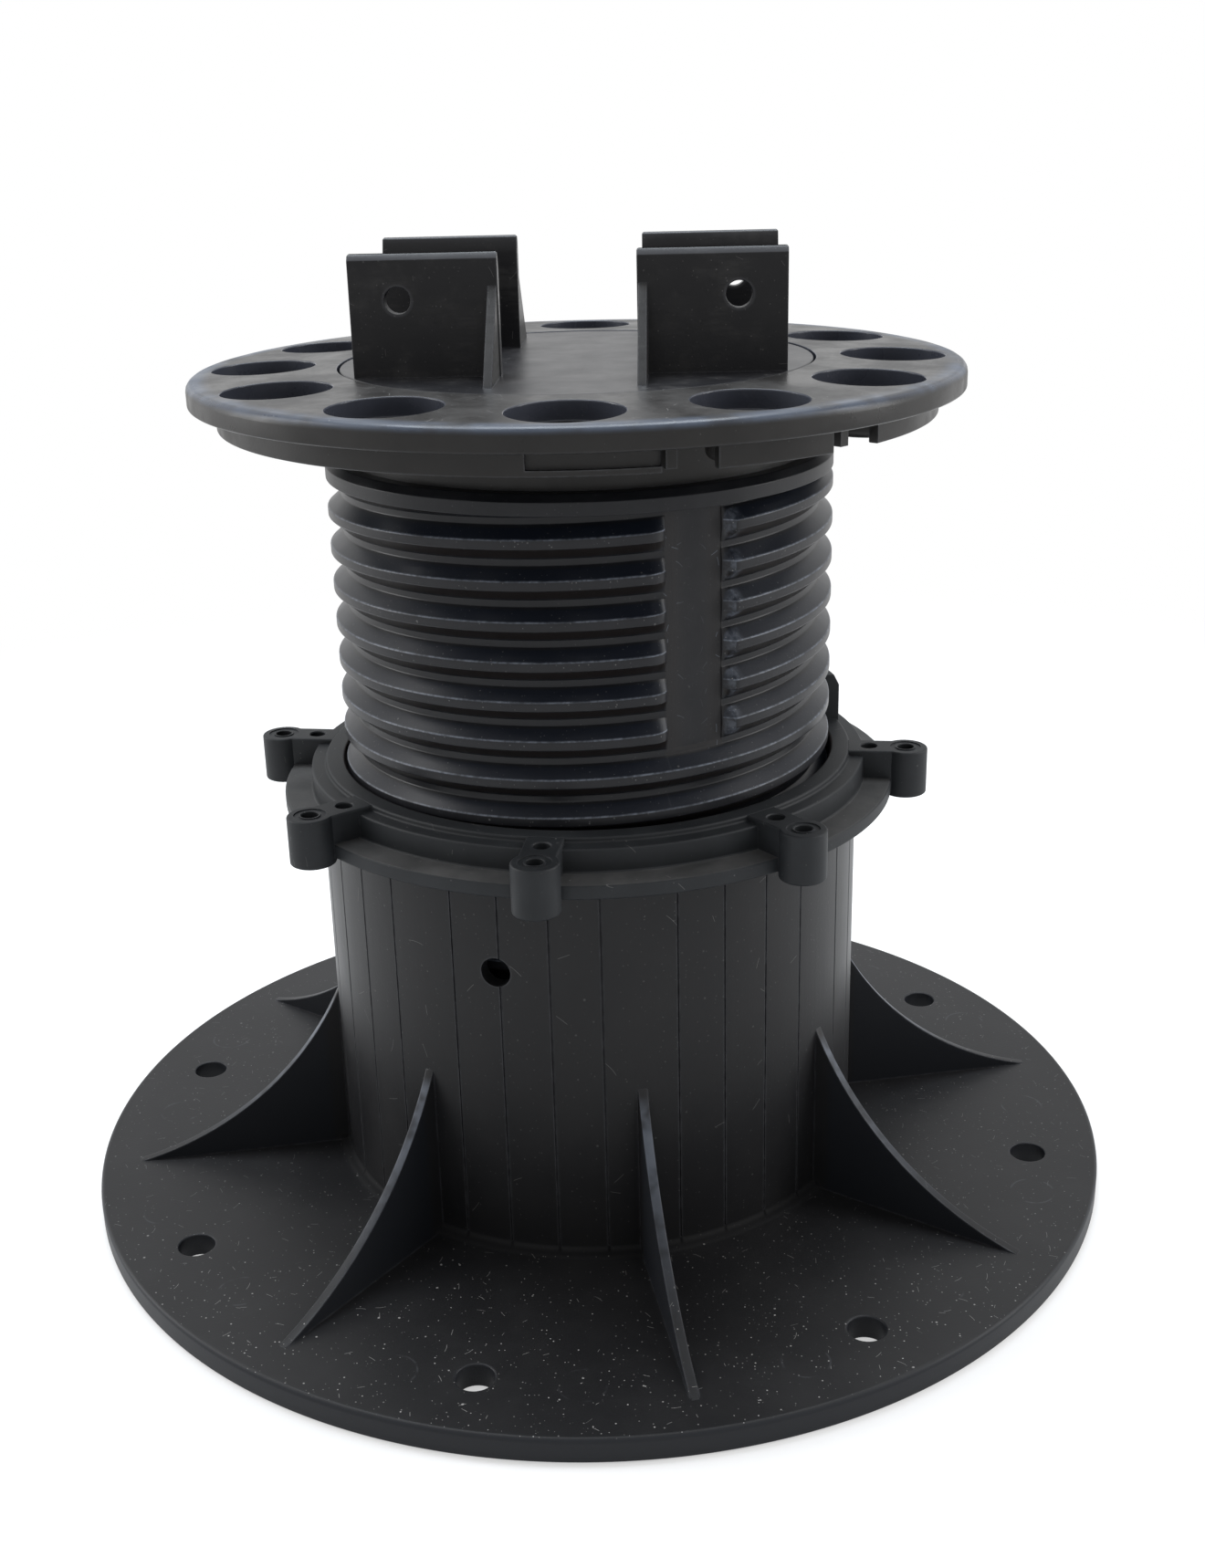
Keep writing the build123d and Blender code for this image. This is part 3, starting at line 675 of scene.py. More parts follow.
class Surface(Nodes):
    """Builder of one surface's material, whose fields are measured in the piece's millimetres."""

    NOISE_ROUGHNESS = 0.6
    EDGE_SAMPLES = 4

    def __init__(self, name):
        self.material = bpy.data.materials.new(name)
        self.material.use_nodes = True
        super().__init__(self.material.node_tree)
        metres = self.node("ShaderNodeTexCoord", output="Object")
        self.place = self.vector("SCALE", metres, {"Scale": MILLIMETRES})
        self.x, self.y, self.height = self.parts(self.place)
        self.upward = self.parts(self.node("ShaderNodeTexCoord", output="Normal"))[2]
        self.radius = flat_length(self.x, self.y)
        self.bearing = self.y.math("ARCTAN2", self.x)
        self.along = self.bearing * self.radius

    def vector(self, operation, first, inputs):
        """Result of a Vector Math node on a vector and further inputs."""
        output = "Value" if operation == "DOT_PRODUCT" else "Vector"
        settings = {"operation": operation}
        return self.node("ShaderNodeVectorMath", settings, {0: first, **inputs}, output)

    def parts(self, vector):
        """The three numbers of a vector."""
        return self.node("ShaderNodeSeparateXYZ", None, {0: vector}, ("X", "Y", "Z"))

    def packed(self, x, y, z):
        """Vector from three numbers."""
        return self.node("ShaderNodeCombineXYZ", None, {0: x, 1: y, 2: z})

    def looking_up(self):
        """1 on faces that look straight up, and 0 on slopes and walls."""
        return self.upward.rises(0.75, 0.95)

    def noise(self, blot, detail=2.0, place=None):
        """Cloudy noise with blots of a size in millimetres."""
        inputs = {
            "Vector": place or self.place,
            "Scale": 1.0 / blot,
            "Detail": detail,
            "Roughness": self.NOISE_ROUGHNESS,
        }
        return self.node("ShaderNodeTexNoise", {"noise_dimensions": "3D"}, inputs)

    def cells(self, cell, place, dimensions):
        """Distance to the nearest seed of a scatter, its three random numbers and its place."""
        distance, chances, seed = self.node(
            "ShaderNodeTexVoronoi",
            {"voronoi_dimensions": dimensions},
            {"Vector": place, "Scale": 1.0 / cell},
            ("Distance", "Color", "Position"),
        )
        return distance * cell, self.parts(chances), seed

    def kept(self, chance, density):
        """1 in a share of the cells of a scatter, told by a random number of each cell."""
        return (chance - (1.0 - density)).rises(0.0, 0.02)

    def specks(self, cell, largest, density):
        """Round specks of mixed sizes, in a share of the cells of a scatter."""
        distance, (chance, bulk, shade), _ = self.cells(cell, self.place, "3D")
        reach = largest * (0.3 + 0.7 * bulk * bulk)
        disc = (distance / reach).rises(1.0, 0.5)
        return disc * self.kept(chance, density) * (0.4 + 0.6 * shade)

    def fibres(self, across, along, cell, longest, width, density):
        """Short bent fibres, scattered over a surface that two fields run across and along."""
        flat = self.packed(across, along, 0.0)
        _, (chance, tilt, bulk), seed = self.cells(cell, flat, "2D")
        off_across, off_along, _ = self.parts(self.vector("SUBTRACT", flat, {1: seed}))
        turn = tilt * math.pi
        cos, sin = turn.math("COSINE"), turn.math("SINE")
        lengthwise = off_across * cos + off_along * sin
        bend = (bulk - 0.5) * 0.3 / longest
        sideways = off_along * cos - off_across * sin - bend * lengthwise * lengthwise
        reach = longest * (0.35 + 0.65 * bulk)
        drawn = (lengthwise.absolute() / reach).rises(1.0, 0.85)
        thin = (sideways.absolute() / width).rises(1.0, 0.3)
        return drawn * thin * self.kept(chance, density)

    def edges(self, width):
        """1 along edges, from how far the normal turns within a width in metres."""
        soft = self.node("ShaderNodeBevel", {"samples": self.EDGE_SAMPLES}, {"Radius": width})
        flat = self.node("ShaderNodeNewGeometry", output="Normal")
        return (1.0 - self.vector("DOT_PRODUCT", soft, {1: flat})).rises(0.01, 0.16)

    def blend(self, amount, first, second):
        """Colour between two colours, by an amount between 0 and 1."""
        colours = [c if isinstance(c, Field) else opaque(c) for c in (first, second)]
        settings = {"data_type": "RGBA", "clamp_factor": True}
        inputs = {"Factor": amount, 6: colours[0], 7: colours[1]}
        return self.node("ShaderNodeMix", settings, inputs, 2)

    def finished(self, base, roughness, relief, depth, specular):
        """Closes the shader, with relief between 0 and 1 over a depth in metres."""
        bump = {"Strength": 1.0, "Distance": depth, "Height": relief}
        inputs = {
            "Base Color": base,
            "Roughness": roughness,
            "Specular IOR Level": specular,
            "Normal": self.node("ShaderNodeBump", None, bump),
        }
        shader = self.node("ShaderNodeBsdfPrincipled", None, inputs)
        self.node("ShaderNodeOutputMaterial", None, {"Surface": shader})
        return self.material


class PEDESTAL_OT_foot(Operator):
    """Builds the round foot with its tube, gussets, holes and seams"""

    bl_idname = "pedestal.foot"
    bl_label = "Foot"

    TURN_STEPS = 288
    # Round marks of the mould's ejectors: degrees after a gusset, and distance from the axis in
    # millimetres
    EJECTOR_MARKS = ((12.9, 89.0), (33.6, 87.0))
    MARK_RADIUS = 4.0

    def execute(self, context):
        settings = context.scene.pedestal
        size = settings.foot
        flange_radius = min(FOOT[1].x, FOOT[1].y)
        top = FOOT[1].z
        bore = size.tube_radius - size.tube_wall
        edge = size.tube_wall / 8
        outline = rounded(
            [
                (bore, 0.0),
                (flange_radius, 0.0),
                (flange_radius, size.flange_thickness),
                (size.tube_radius, size.flange_thickness),
                (size.tube_radius, top),
                (bore, top),
            ],
            {0: edge, 1: edge, 2: size.flange_edge, 3: size.tube_foot, 4: edge, 5: edge},
        )
        foot = turned("round_foot", outline, self.TURN_STEPS)
        united(foot, self.gussets(size), self.guide_ribs(size))
        cut(foot, self.fixing_holes(size), self.seams(size, top))
        cut(foot, self.side_hole(size))
        dressed(foot, "foot", "foot", self.look(size, settings.finish))
        return {"FINISHED"}

    def gussets(self, size):
        """The curved gussets, all round."""
        root = size.tube_radius - size.tube_wall / 2
        sunk = size.flange_thickness / 2
        curve = sagging(
            (size.tube_radius, size.gusset_top),
            (size.gusset_reach, size.flange_thickness),
            size.gusset_sag,
            steps=24,
        )
        outline = [(root, size.gusset_top), *curve, (size.gusset_reach, sunk), (root, sunk)]
        half = size.gusset_thickness / 2
        gusset = prism("gusset", outline, "Y", -half, half)
        floor = size.flange_thickness - SKIN
        bevelled(gusset, half / 3, lambda co: co.z > floor and abs(co.y) > half / 2)
        return around(gusset, size.gussets, size.bearing)

    def guide_ribs(self, size):
        """The ribs inside the tube that guide the riser."""
        half = size.guide_rib_width / 2
        inner = RISER[1].x + size.guide_gap
        rib = block(
            "guide_rib",
            (inner, -half, ROOTING),
            (size.tube_radius - size.tube_wall / 2, half, size.guide_rib_top),
        )
        bevelled(rib, half / 3)
        return around(rib, size.gussets, size.bearing)

    def fixing_holes(self, size):
        """Tool for the holes through the flange."""
        radius = hole_radius("fixing_holes")
        hole = flared_hole("fixing_hole", radius, radius / 10, 0.0, size.flange_thickness)
        moved(hole, x=circle_radius("fixing_holes"))
        return around(hole, size.gussets, size.bearing + size.hole_after)

    def look(self, size, finish):
        """Satin charcoal, with dust and fibres on the flange and faint rings between gussets;
        painted shade at the tube's foot and in its seams, a painted bluish reflection on the
        gussets' sides and painted highlights on their tops.
        """
        look = Surface("foot_look")
        top = size.flange_thickness * MILLIMETRES
        tube = size.tube_radius * MILLIMETRES
        crest = size.gusset_top * MILLIMETRES
        flat = look.looking_up()
        wall = (1.0 - flat) * look.radius.near(tube, 0.6)
        # Mask of the gussets' side faces, for a painted bluish reflection
        gusset = (1.0 - flat) * look.radius.rises(tube + 2.0, tube + 4.0)
        front = 0.35 + 0.65 * look.y.rises(-25.0, -80.0)
        blots = look.noise(16.0, detail=4.0)
        grain = look.noise(0.5, detail=3.0)
        streak_place = look.packed(look.along * 0.9, 0.0, look.height * 0.06)
        streaks = look.noise(1.0, detail=3.0, place=streak_place)
        specks = look.specks(cell=0.75, largest=0.19, density=0.6)
        specks = specks + look.specks(cell=1.7, largest=0.3, density=0.4)
        fibres = look.fibres(look.x, look.y, cell=4.2, longest=1.0, width=0.05, density=0.3) * flat
        lint = look.fibres(look.along, look.height, cell=9.0, longest=1.8, width=0.05, density=0.3)
        lint = lint * wall
        dust = specks * (front * flat + 0.12 * wall) + 0.7 * fibres * front + 0.3 * lint
        dust = dust.clamped()
        haze = flat * blots.rises(0.42, 0.72) * 0.028
        # Painted shadow along the tube's seams
        seams = self.seam_shadows(look, size) * wall * (0.45 + 0.55 * look.noise(22.0))
        marks = self.ejector_marks(look, size) * flat * look.height.near(top, 0.5)
        marks = marks * look.noise(5.0).rises(0.5, 0.62)
        # Painted shade where the tube meets the flange
        shade = look.radius.near(tube + 0.6, 2.2) * look.height.near(top + 0.4, 2.2)
        # Edge lightening: partly wear, partly painted highlight
        wear_and_highlight = look.edges(0.0006) * (0.35 + 0.5 * look.noise(2.5).rises(0.35, 0.65))
        wear_and_highlight = wear_and_highlight * (1.0 - shade)
        # Painted highlight on the gussets' upper edges
        crown = look.upward.rises(0.2, 0.4) * look.height.rises(top + 1.0, crest)
        crown = crown * look.radius.rises(tube + 0.5, tube + 2.0)
        crown = crown * look.noise(5.0).rises(0.25, 0.6)
        base = look.blend(blots.rises(0.3, 0.8), finish.foot, finish.foot_pale)
        # Painted bluish reflection on the gussets' sides
        base = look.blend(gusset * 0.8, base, finish.gusset)
        # Painted shade at the tube's foot and along its seams
        base = look.blend((shade * 0.9 + seams).clamped(), base, finish.shadow)
        base = look.blend(marks * 0.3 + haze, base, finish.wear_and_highlight)
        base = look.blend(wear_and_highlight * 0.7, base, finish.wear_and_highlight)
        # Painted highlight on the gussets' upper edges
        base = look.blend(crown * 0.6, base, finish.highlight_and_scuffs)
        base = look.blend(dust * 0.85, base, finish.dust)
        rough = 0.4 - 0.1 * wall + 0.1 * blots + 0.25 * dust + 0.08 * wall * streaks
        rough = rough + 0.45 * shade + 0.5 * seams
        relief = 0.7 * grain + 0.5 * dust + 0.35 * streaks * wall + 0.2 * marks
        return look.finished(base, rough, relief, depth=0.00002, specular=0.22)

    def after_gusset(self, look, size):
        """Angle from the gusset before, as a field."""
        from_first = look.bearing - size.bearing
        return from_first.math("FLOORED_MODULO", math.tau / size.gussets)

    def seam_shadows(self, look, size):
        """1 along the tube's seams, where painted shadow darkens the tube."""
        after = self.after_gusset(look, size)
        shadows = 0.0
        for k in range(self.seam_count(size)):
            turn = after - self.first_seam(size) - k * size.seam_step
            shadows = shadows + (turn * size.tube_radius * MILLIMETRES).near(0.05, 0.45)
        return shadows

    def ejector_marks(self, look, size):
        """1 on the outlines of the round marks between the gussets."""
        marks = 0.0
        for degrees, distance in self.EJECTOR_MARKS:
            turn = self.after_gusset(look, size) - math.radians(degrees)
            outwards = look.radius * turn.math("COSINE") - distance
            sideways = look.radius * turn.math("SINE")
            marks = marks + flat_length(outwards, sideways).near(self.MARK_RADIUS, 0.3)
        return marks

    def seams(self, size, top):
        """Tool for the fine upright seams of the tube."""
        half = size.seam_width / 2
        deep = size.tube_radius - size.seam_depth
        outside = size.tube_radius + OVERCUT
        outline = [(deep, -half / 2), (outside, -half), (outside, half), (deep, half / 2)]
        bottom = size.flange_thickness + size.tube_foot
        first = size.bearing + self.first_seam(size)
        tools = []
        for k in range(self.seam_count(size)):
            seam = prism("seam", outline, "Z", bottom, top + OVERCUT)
            tools.append(around(seam, size.gussets, first + k * size.seam_step))
        return joined(*tools)

    def seam_count(self, size):
        """Number of seams between two gussets."""
        return int(math.tau / size.gussets / size.seam_step)

    def first_seam(self, size):
        """Angle from a gusset to the first seam after it."""
        return (math.tau / size.gussets - size.seam_step * (self.seam_count(size) - 1)) / 2

    def side_hole(self, size):
        """Tool for the small hole through the tube's side."""
        radius = size.side_hole_radius
        through = size.tube_wall + OVERCUT
        outline = [(0.0, -OVERCUT), (radius, -OVERCUT), (radius, through), (0.0, through)]
        tool = turned("side_hole", outline, steps=36)
        tool.data.transform(Matrix.Rotation(math.pi / 2, 4, "Y"))
        moved(tool, x=size.tube_radius - size.tube_wall, z=size.side_hole_height)
        return around(tool, 1, size.side_hole_bearing)


class PEDESTAL_OT_ring(Operator):
    """Builds the adjusting ring with its lugs, holes and tab"""

    bl_idname = "pedestal.ring"
    bl_label = "Adjusting ring"

    TURN_STEPS = 240
    HOLE_STEPS = 28
    # Outer radii of the groove round a lug's hole, as shares of the hole's radius
    GROOVE_FLOOR = 1.9
    GROOVE_MOUTH = 1.95

    def execute(self, context):
        settings = context.scene.pedestal
        size = settings.ring
        bottom = RING[0].z
        lip = size.top - size.lip_step
        outline = rounded(
            [
                (size.bore, bottom),
                (size.spigot_radius, bottom),
                (size.spigot_radius, size.bottom),
                (size.ledge_radius, size.bottom),
                (size.ledge_radius, size.ledge_height),
                (size.wall_radius, size.ledge_height),
                (size.wall_radius, lip),
                (size.lip_radius, lip),
                (size.lip_radius, size.top),
                (size.bore, size.top),
            ],
            {corner: size.edge for corner in (0, 1, 3, 4, 5, 6, 7, 8, 9)},
        )
        ring = turned("adjusting_collar", outline, self.TURN_STEPS)
        united(ring, self.lugs(size), self.tab(size))
        cut(ring, self.lug_holes(size))
        united(ring, self.thread(size, settings.riser))
        dressed(ring, "ring", "adjusting_ring", self.look(size, settings.finish))
        return {"FINISHED"}

    def lugs(self, size):
        """The lugs, each an arm with a round boss at its end."""
        half = size.lug_arm / 2
        arm = block(
            "lug_arm",
            (size.lip_radius - ROOTING, -half, size.bottom),
            (size.lug_circle, half, size.top - SKIN),
        )
        bevelled(arm, size.edge * 0.75, lambda co: co.z > size.bottom + ROOTING)
        low = size.bottom - size.lug_drop
        boss = turned(
            "lug_boss",
            rounded(
                [(0.0, low), (size.lug_radius, low), (size.lug_radius, size.top), (0.0, size.top)],
                {1: size.edge, 2: size.edge},
            ),
            steps=36,
        )
        moved(boss, x=size.lug_circle)
        return around(united(arm, boss), size.lugs, size.lug_bearing)

    def tab(self, size):
        """The upstanding tab, bevelled outside its top."""
        outer = size.tab_inner + size.tab_thickness
        height = RING[1].z
        outline = [
            (size.tab_inner, size.top - ROOTING),
            (outer, size.top - ROOTING),
            (outer, height - size.tab_bevel),
            (outer - size.tab_bevel / 2, height),
            (size.tab_inner, height),
        ]
        tab = turned("tab", outline, 12, start=size.tab_bearing, sweep=size.tab_sweep)
        return bevelled(tab, size.edge / 2)

    def lug_holes(self, size):
        """Tool for the lugs' grooved holes and the blind holes beside them."""
        low = size.bottom - size.lug_drop
        flare = size.edge / 2
        hole = flared_hole("lug_hole", size.lug_hole, flare, low, size.top, self.HOLE_STEPS)
        moved(hole, x=size.lug_circle)
        above = size.top + OVERCUT
        groove_floor = size.top - flare
        groove_inside = size.lug_hole + size.edge
        groove = turned(
            "lug_groove",
            [
                (groove_inside, groove_floor),
                (size.lug_hole * self.GROOVE_FLOOR, groove_floor),
                (size.lug_hole * self.GROOVE_MOUTH, above),
                (groove_inside, above),
            ],
            steps=self.HOLE_STEPS,
        )
        moved(groove, x=size.lug_circle)
        pip = turned(
            "pip_hole",
            [
                (0.0, size.top - size.pip_depth),
                (size.lug_hole, size.top - size.pip_depth),
                (size.lug_hole, groove_floor),
                (size.lug_hole + flare, size.top + SKIN),
                (size.lug_hole + flare, above),
                (0.0, above),
            ],
            steps=self.HOLE_STEPS,
        )
        moved(pip, x=size.pip_circle)
        united(hole, groove)
        return around(joined(hole, pip), size.lugs, size.lug_bearing)

    def look(self, size, finish):
        """Flat bluish grey with white specks, dusty on its ledge."""
        look = Surface("ring_look")
        flat = look.looking_up()
        ledge = flat * look.height.near(size.ledge_height * MILLIMETRES, 0.5)
        # Painted shadow: reddish dark line round the bore
        bore = look.radius.near(size.bore * MILLIMETRES, 0.5)
        blots = look.noise(8.0, detail=4.0)
        grain = look.noise(0.35, detail=3.0)
        specks = look.specks(cell=1.0, largest=0.2, density=0.3)
        specks = specks + look.specks(cell=2.6, largest=0.28, density=0.35)
        upwards = look.height + look.radius
        lint = look.fibres(look.along, upwards, cell=6.0, longest=1.2, width=0.05, density=0.3)
        dust = (specks * (0.3 + 0.5 * flat) + 0.5 * lint + 0.5 * ledge * blots).clamped()
        base = look.blend(blots.rises(0.3, 0.75), finish.ring, finish.ring_pale)
        base = look.blend(bore, base, finish.warm_shadow)
        # Edge lightening: partly wear, partly painted highlight
        wear_and_highlight = look.edges(0.0004) * look.noise(1.8).rises(0.3, 0.65)
        base = look.blend(wear_and_highlight * 0.6, base, finish.wear_and_highlight)
        base = look.blend(dust * 0.5, base, finish.dust)
        rough = 0.5 + 0.12 * blots + 0.2 * dust
        relief = 0.8 * grain + 0.4 * dust
        return look.finished(base, rough, relief, depth=0.00002, specular=0.24)

    def thread(self, size, riser):
        """Inner ridge that fills the riser's groove but for a running gap."""
        gap = size.thread_gap
        flank = (riser.pitch - riser.crest_flat - riser.root_flat) / 2
        slope = flank / (RISER[1].x - riser.root)
        tip = riser.root + size.thread_clearance
        base = size.bore + ROOTING
        half_tip = riser.root_flat / 2 + slope * (tip - riser.root) - gap
        half_base = riser.root_flat / 2 + slope * (base - riser.root) - gap
        section = [(base, -half_base), (tip, -half_tip), (tip, half_tip), (base, half_base)]
        low = RING[0].z + half_base
        high = size.top - half_base
        zero = riser.crest_height + riser.pitch / 2
        return wound("ring_thread", section, low, high, zero, riser.pitch, steps_per_turn=120)


class PEDESTAL_OT_riser(Operator):
    """Builds the threaded riser, whose thread is broken by two flats"""

    bl_idname = "pedestal.riser"
    bl_label = "Threaded riser"

    TURN_STEPS = 264
    # Columns of the mesh over a shoulder, half a flat and a ramp
    SHOULDER_COLUMNS = 14
    FLAT_COLUMNS = 6
    RAMP_COLUMNS = 8
    # Turns of the thread, counted from the crest at bearing zero, that reach past both ends
    TURNS = range(-7, 9)

    def execute(self, context):
        settings = context.scene.pedestal
        size = settings.riser
        riser = self.threaded_tube(size)
        united(riser, self.band(size))
        look = self.look(size, settings.finish)
        dressed(riser, "column", "threaded_riser", look)
        return {"FINISHED"}

    def section(self, size):
        """Points (offset along the thread's axis, radius) of one pitch, from root to root."""
        crest = RISER[1].x
        half_crest = size.crest_flat / 2
        half_base = (size.pitch - size.root_flat) / 2
        outline = [
            (-size.pitch / 2, size.root),
            (-half_base, size.root),
            (-half_crest, crest),
            (half_crest, crest),
            (half_base, size.root),
            (size.pitch / 2, size.root),
        ]
        points = rounded(outline, {i: size.crest_round for i in (1, 2, 3, 4)}, 3)
        middle = len(points) // 2
        points.insert(middle, (points[middle - 1] + points[middle]) / 2)
        return points[:-1]

    def look(self, size, finish):
        """Upper flanks painted bluish as a reflection, crests painted paler as a highlight, lower
        flanks painted brown as shade; painted highlights on the crests' upper edges and the ramps;
        speckled dust and streaky flats.
        """
        look = Surface("riser_look")
        pitch = size.pitch * MILLIMETRES
        crest = size.crest_flat * MILLIMETRES / 2
        root = size.root * MILLIMETRES
        outside = RISER[1].x * MILLIMETRES
        band = size.band_bottom * MILLIMETRES
        flat_start = size.flat_bottom * MILLIMETRES
        turns = (look.height - size.crest_height * MILLIMETRES) / pitch - look.bearing / math.tau
        offset = ((turns + 0.5).math("FRACT") - 0.5) * pitch
        below_band = look.height.rises(band, band - 0.3)
        outer = look.radius.rises(root - 0.4, root - 0.2)
        proud = look.radius.rises(root + 0.3, root + 0.6)
        edge, ramp, _ = self.flat_angles(size)
        from_flat = look.bearing - size.flat_bearing + math.pi / 2
        off = from_flat.math("FLOORED_MODULO", math.pi) - math.pi / 2
        level = look.radius.rises(root + 0.35, root + 0.15) * below_band * outer
        in_flat = off.absolute().rises(edge + 0.012, edge) * level
        in_flat = in_flat * look.height.rises(flat_start - 3.0, flat_start)
        beside = off.near((edge + ramp) / 2, (ramp - edge) * 0.7) * proud * below_band
        slanted = look.radius.rises(outside - 0.05, outside - 0.3)
        # Painted highlight on the straight ramps beside the flats
        ramp_highlight = beside * slanted * look.height.rises(flat_start, flat_start + 1.0)
        threaded = below_band * outer * (1.0 - in_flat)
        # Masks of the thread's faces: upper flanks for painted reflection, lower flanks for
        # painted shade, crests and their upper edges for painted highlight
        upper = offset.rises(crest - 0.1, crest + 0.25) * proud * threaded
        lower = offset.rises(-crest + 0.1, -crest - 0.25) * proud * threaded
        top = offset.near(0.0, crest + 0.35) * proud * threaded
        lip = offset.near(crest + 0.05, 0.22) * proud * threaded
        blots = look.noise(6.0, detail=4.0)
        grain = look.noise(0.4, detail=3.0)
        specks = look.specks(cell=0.6, largest=0.17, density=0.5)
        specks = specks + look.specks(cell=1.8, largest=0.28, density=0.35)
        streak_place = look.packed(off * 110.0, 0.0, look.height * 0.1)
        lines = look.noise(1.0, detail=4.0, place=streak_place)
        hoop_place = look.packed(look.x * 0.05, look.y * 0.05, look.height * 2.4)
        hoops = look.noise(1.0, detail=3.0, place=hoop_place)
        across = off * root
        scuffs = look.fibres(across, look.height, cell=2.4, longest=0.9, width=0.08, density=0.45)
        scuffs = scuffs * in_flat
        base = look.blend(blots.rises(0.3, 0.75), finish.riser, finish.riser_pale)
        # Painted bluish reflection on the upper flanks, painted brown shade on the lower flanks,
        # painted paler highlight on the crests
        base = look.blend(upper * 0.8, base, finish.upper_flank_reflection)
        base = look.blend(lower * 0.8, base, finish.lower_flank_shade)
        base = look.blend(top * (0.35 + 0.4 * blots), base, finish.crest)
        base = look.blend(in_flat * (0.35 + 0.5 * lines), base, finish.flat)
        # Painted highlights on the crests' upper edges and on the ramps, with pale scuffs on the
        # flats
        shine = look.noise(3.0, detail=3.0).rises(0.3, 0.65)
        glints = 0.5 + 0.5 * look.noise(0.7, detail=1.0).rises(0.35, 0.6)
        wear_and_highlight = lip * (0.25 + 0.6 * shine) * glints + 0.45 * ramp_highlight * shine * glints
        wear_and_highlight = (wear_and_highlight + 0.4 * scuffs).clamped()
        base = look.blend(wear_and_highlight, base, finish.highlight_and_scuffs)
        dust = (specks * (0.12 + 0.5 * top + 0.7 * ramp_highlight + 0.25 * upper)).clamped()
        base = look.blend(dust * 0.5, base, finish.dust)
        hoops = hoops * (1.0 - below_band)
        rough = 0.3 + 0.24 * in_flat + 0.1 * blots + 0.2 * dust + 0.08 * hoops
        relief = 0.6 * grain + 0.5 * in_flat * lines + 0.6 * hoops + 0.3 * dust
        return look.finished(base, rough, relief, depth=0.000025, specular=0.24)

    def flat_angles(self, size):
        """Angles from a flat's middle to its edges, to a ramp's end and to a shoulder's end."""
        crest = RISER[1].x
        half = size.flat_width / 2
        edge = math.asin(half / (size.root - size.flat_depth))
        ramp = math.asin((half + size.ramp_width) / crest)
        shoulder = math.asin((half + size.shoulder_width) / crest)
        return edge, ramp, shoulder

    def limit(self, size, off):
        """Radius of a flat, its ramp and its shoulder at an angle from the flat's middle."""
        crest = RISER[1].x
        half = size.flat_width / 2
        edge, ramp, shoulder = self.flat_angles(size)
        flat = math.sqrt((size.root - size.flat_depth) ** 2 - half**2)
        if off > ramp or off < -shoulder:
            return crest
        if off < -edge:
            reach = min(1.0, (off + shoulder) / (shoulder - edge))
            return size.root + (crest + SKIN - size.root) * math.sqrt(1 - reach * reach)
        if off <= edge:
            return flat / math.cos(off)
        foot = flat + size.ramp_step
        rise = (crest + OVERCUT - foot) / size.ramp_width
        return (foot - rise * half) / (1 - rise * math.tan(off)) / math.cos(off)

    def columns(self, size):
        """Bearings of the mesh's columns, closer together over the flats and beside them."""
        edge, ramp, shoulder = self.flat_angles(size)
        steps = self.SHOULDER_COLUMNS
        quarter = [math.pi / 2 * k / steps for k in range(steps + 1)]
        offsets = [-shoulder + (shoulder - edge) * math.cos(a) for a in quarter]
        steps = self.FLAT_COLUMNS
        offsets += [edge * k / steps for k in range(-steps, steps + 1)]
        steps = self.RAMP_COLUMNS
        offsets += [edge + (ramp - edge) * (k + STEP_SHARE) / steps for k in range(steps)]
        offsets.append(ramp)
        bearings = set()
        for k in range(self.TURN_STEPS):
            bearing = math.tau * k / self.TURN_STEPS
            off = (bearing - size.flat_bearing + math.pi / 2) % math.pi - math.pi / 2
            if not -shoulder < off < ramp:
                bearings.add(round(bearing, 6))
        for flat in (size.flat_bearing, size.flat_bearing + math.pi):
            bearings.update(round((flat + off) % math.tau, 6) for off in offsets)
        return sorted(bearings)

    def flats(self, size):
        """Bearing of each flat, with the height in mid-groove where it starts."""
        flats = []
        for flat in (size.flat_bearing, size.flat_bearing + math.pi):
            bearing = (flat + math.pi) % math.tau - math.pi
            groove = size.crest_height + size.pitch * (bearing / math.tau + 0.5)
            turns = math.floor((size.flat_bottom - groove) / size.pitch + 0.5)
            flats.append((bearing, groove + size.pitch * turns))
        return flats

    def profile(self, size, bearing):
        """(radius, height) points up the outside of the tube at a bearing."""
        bottom = RISER[0].z
        top = size.band_bottom + size.crest_flat
        inside = RISER[1].x - ROOTING
        section = self.section(size)
        flats = self.flats(size)
        points = []
        for turn in self.TURNS:
            for offset, radius in section:
                height = size.crest_height + size.pitch * (bearing / math.tau + turn) + offset
                for flat, lowest in flats:
                    off = (bearing - flat + math.pi) % math.tau - math.pi
                    if height > lowest + size.pitch * off / math.tau + SKIN:
                        radius = min(radius, self.limit(size, off))
                if height < bottom:
                    height, radius = bottom, size.root
                if height > size.band_bottom + SKIN:
                    radius = min(radius, inside)
                if height > top:
                    height, radius = top, size.root
                points.append((radius, height))
        return points

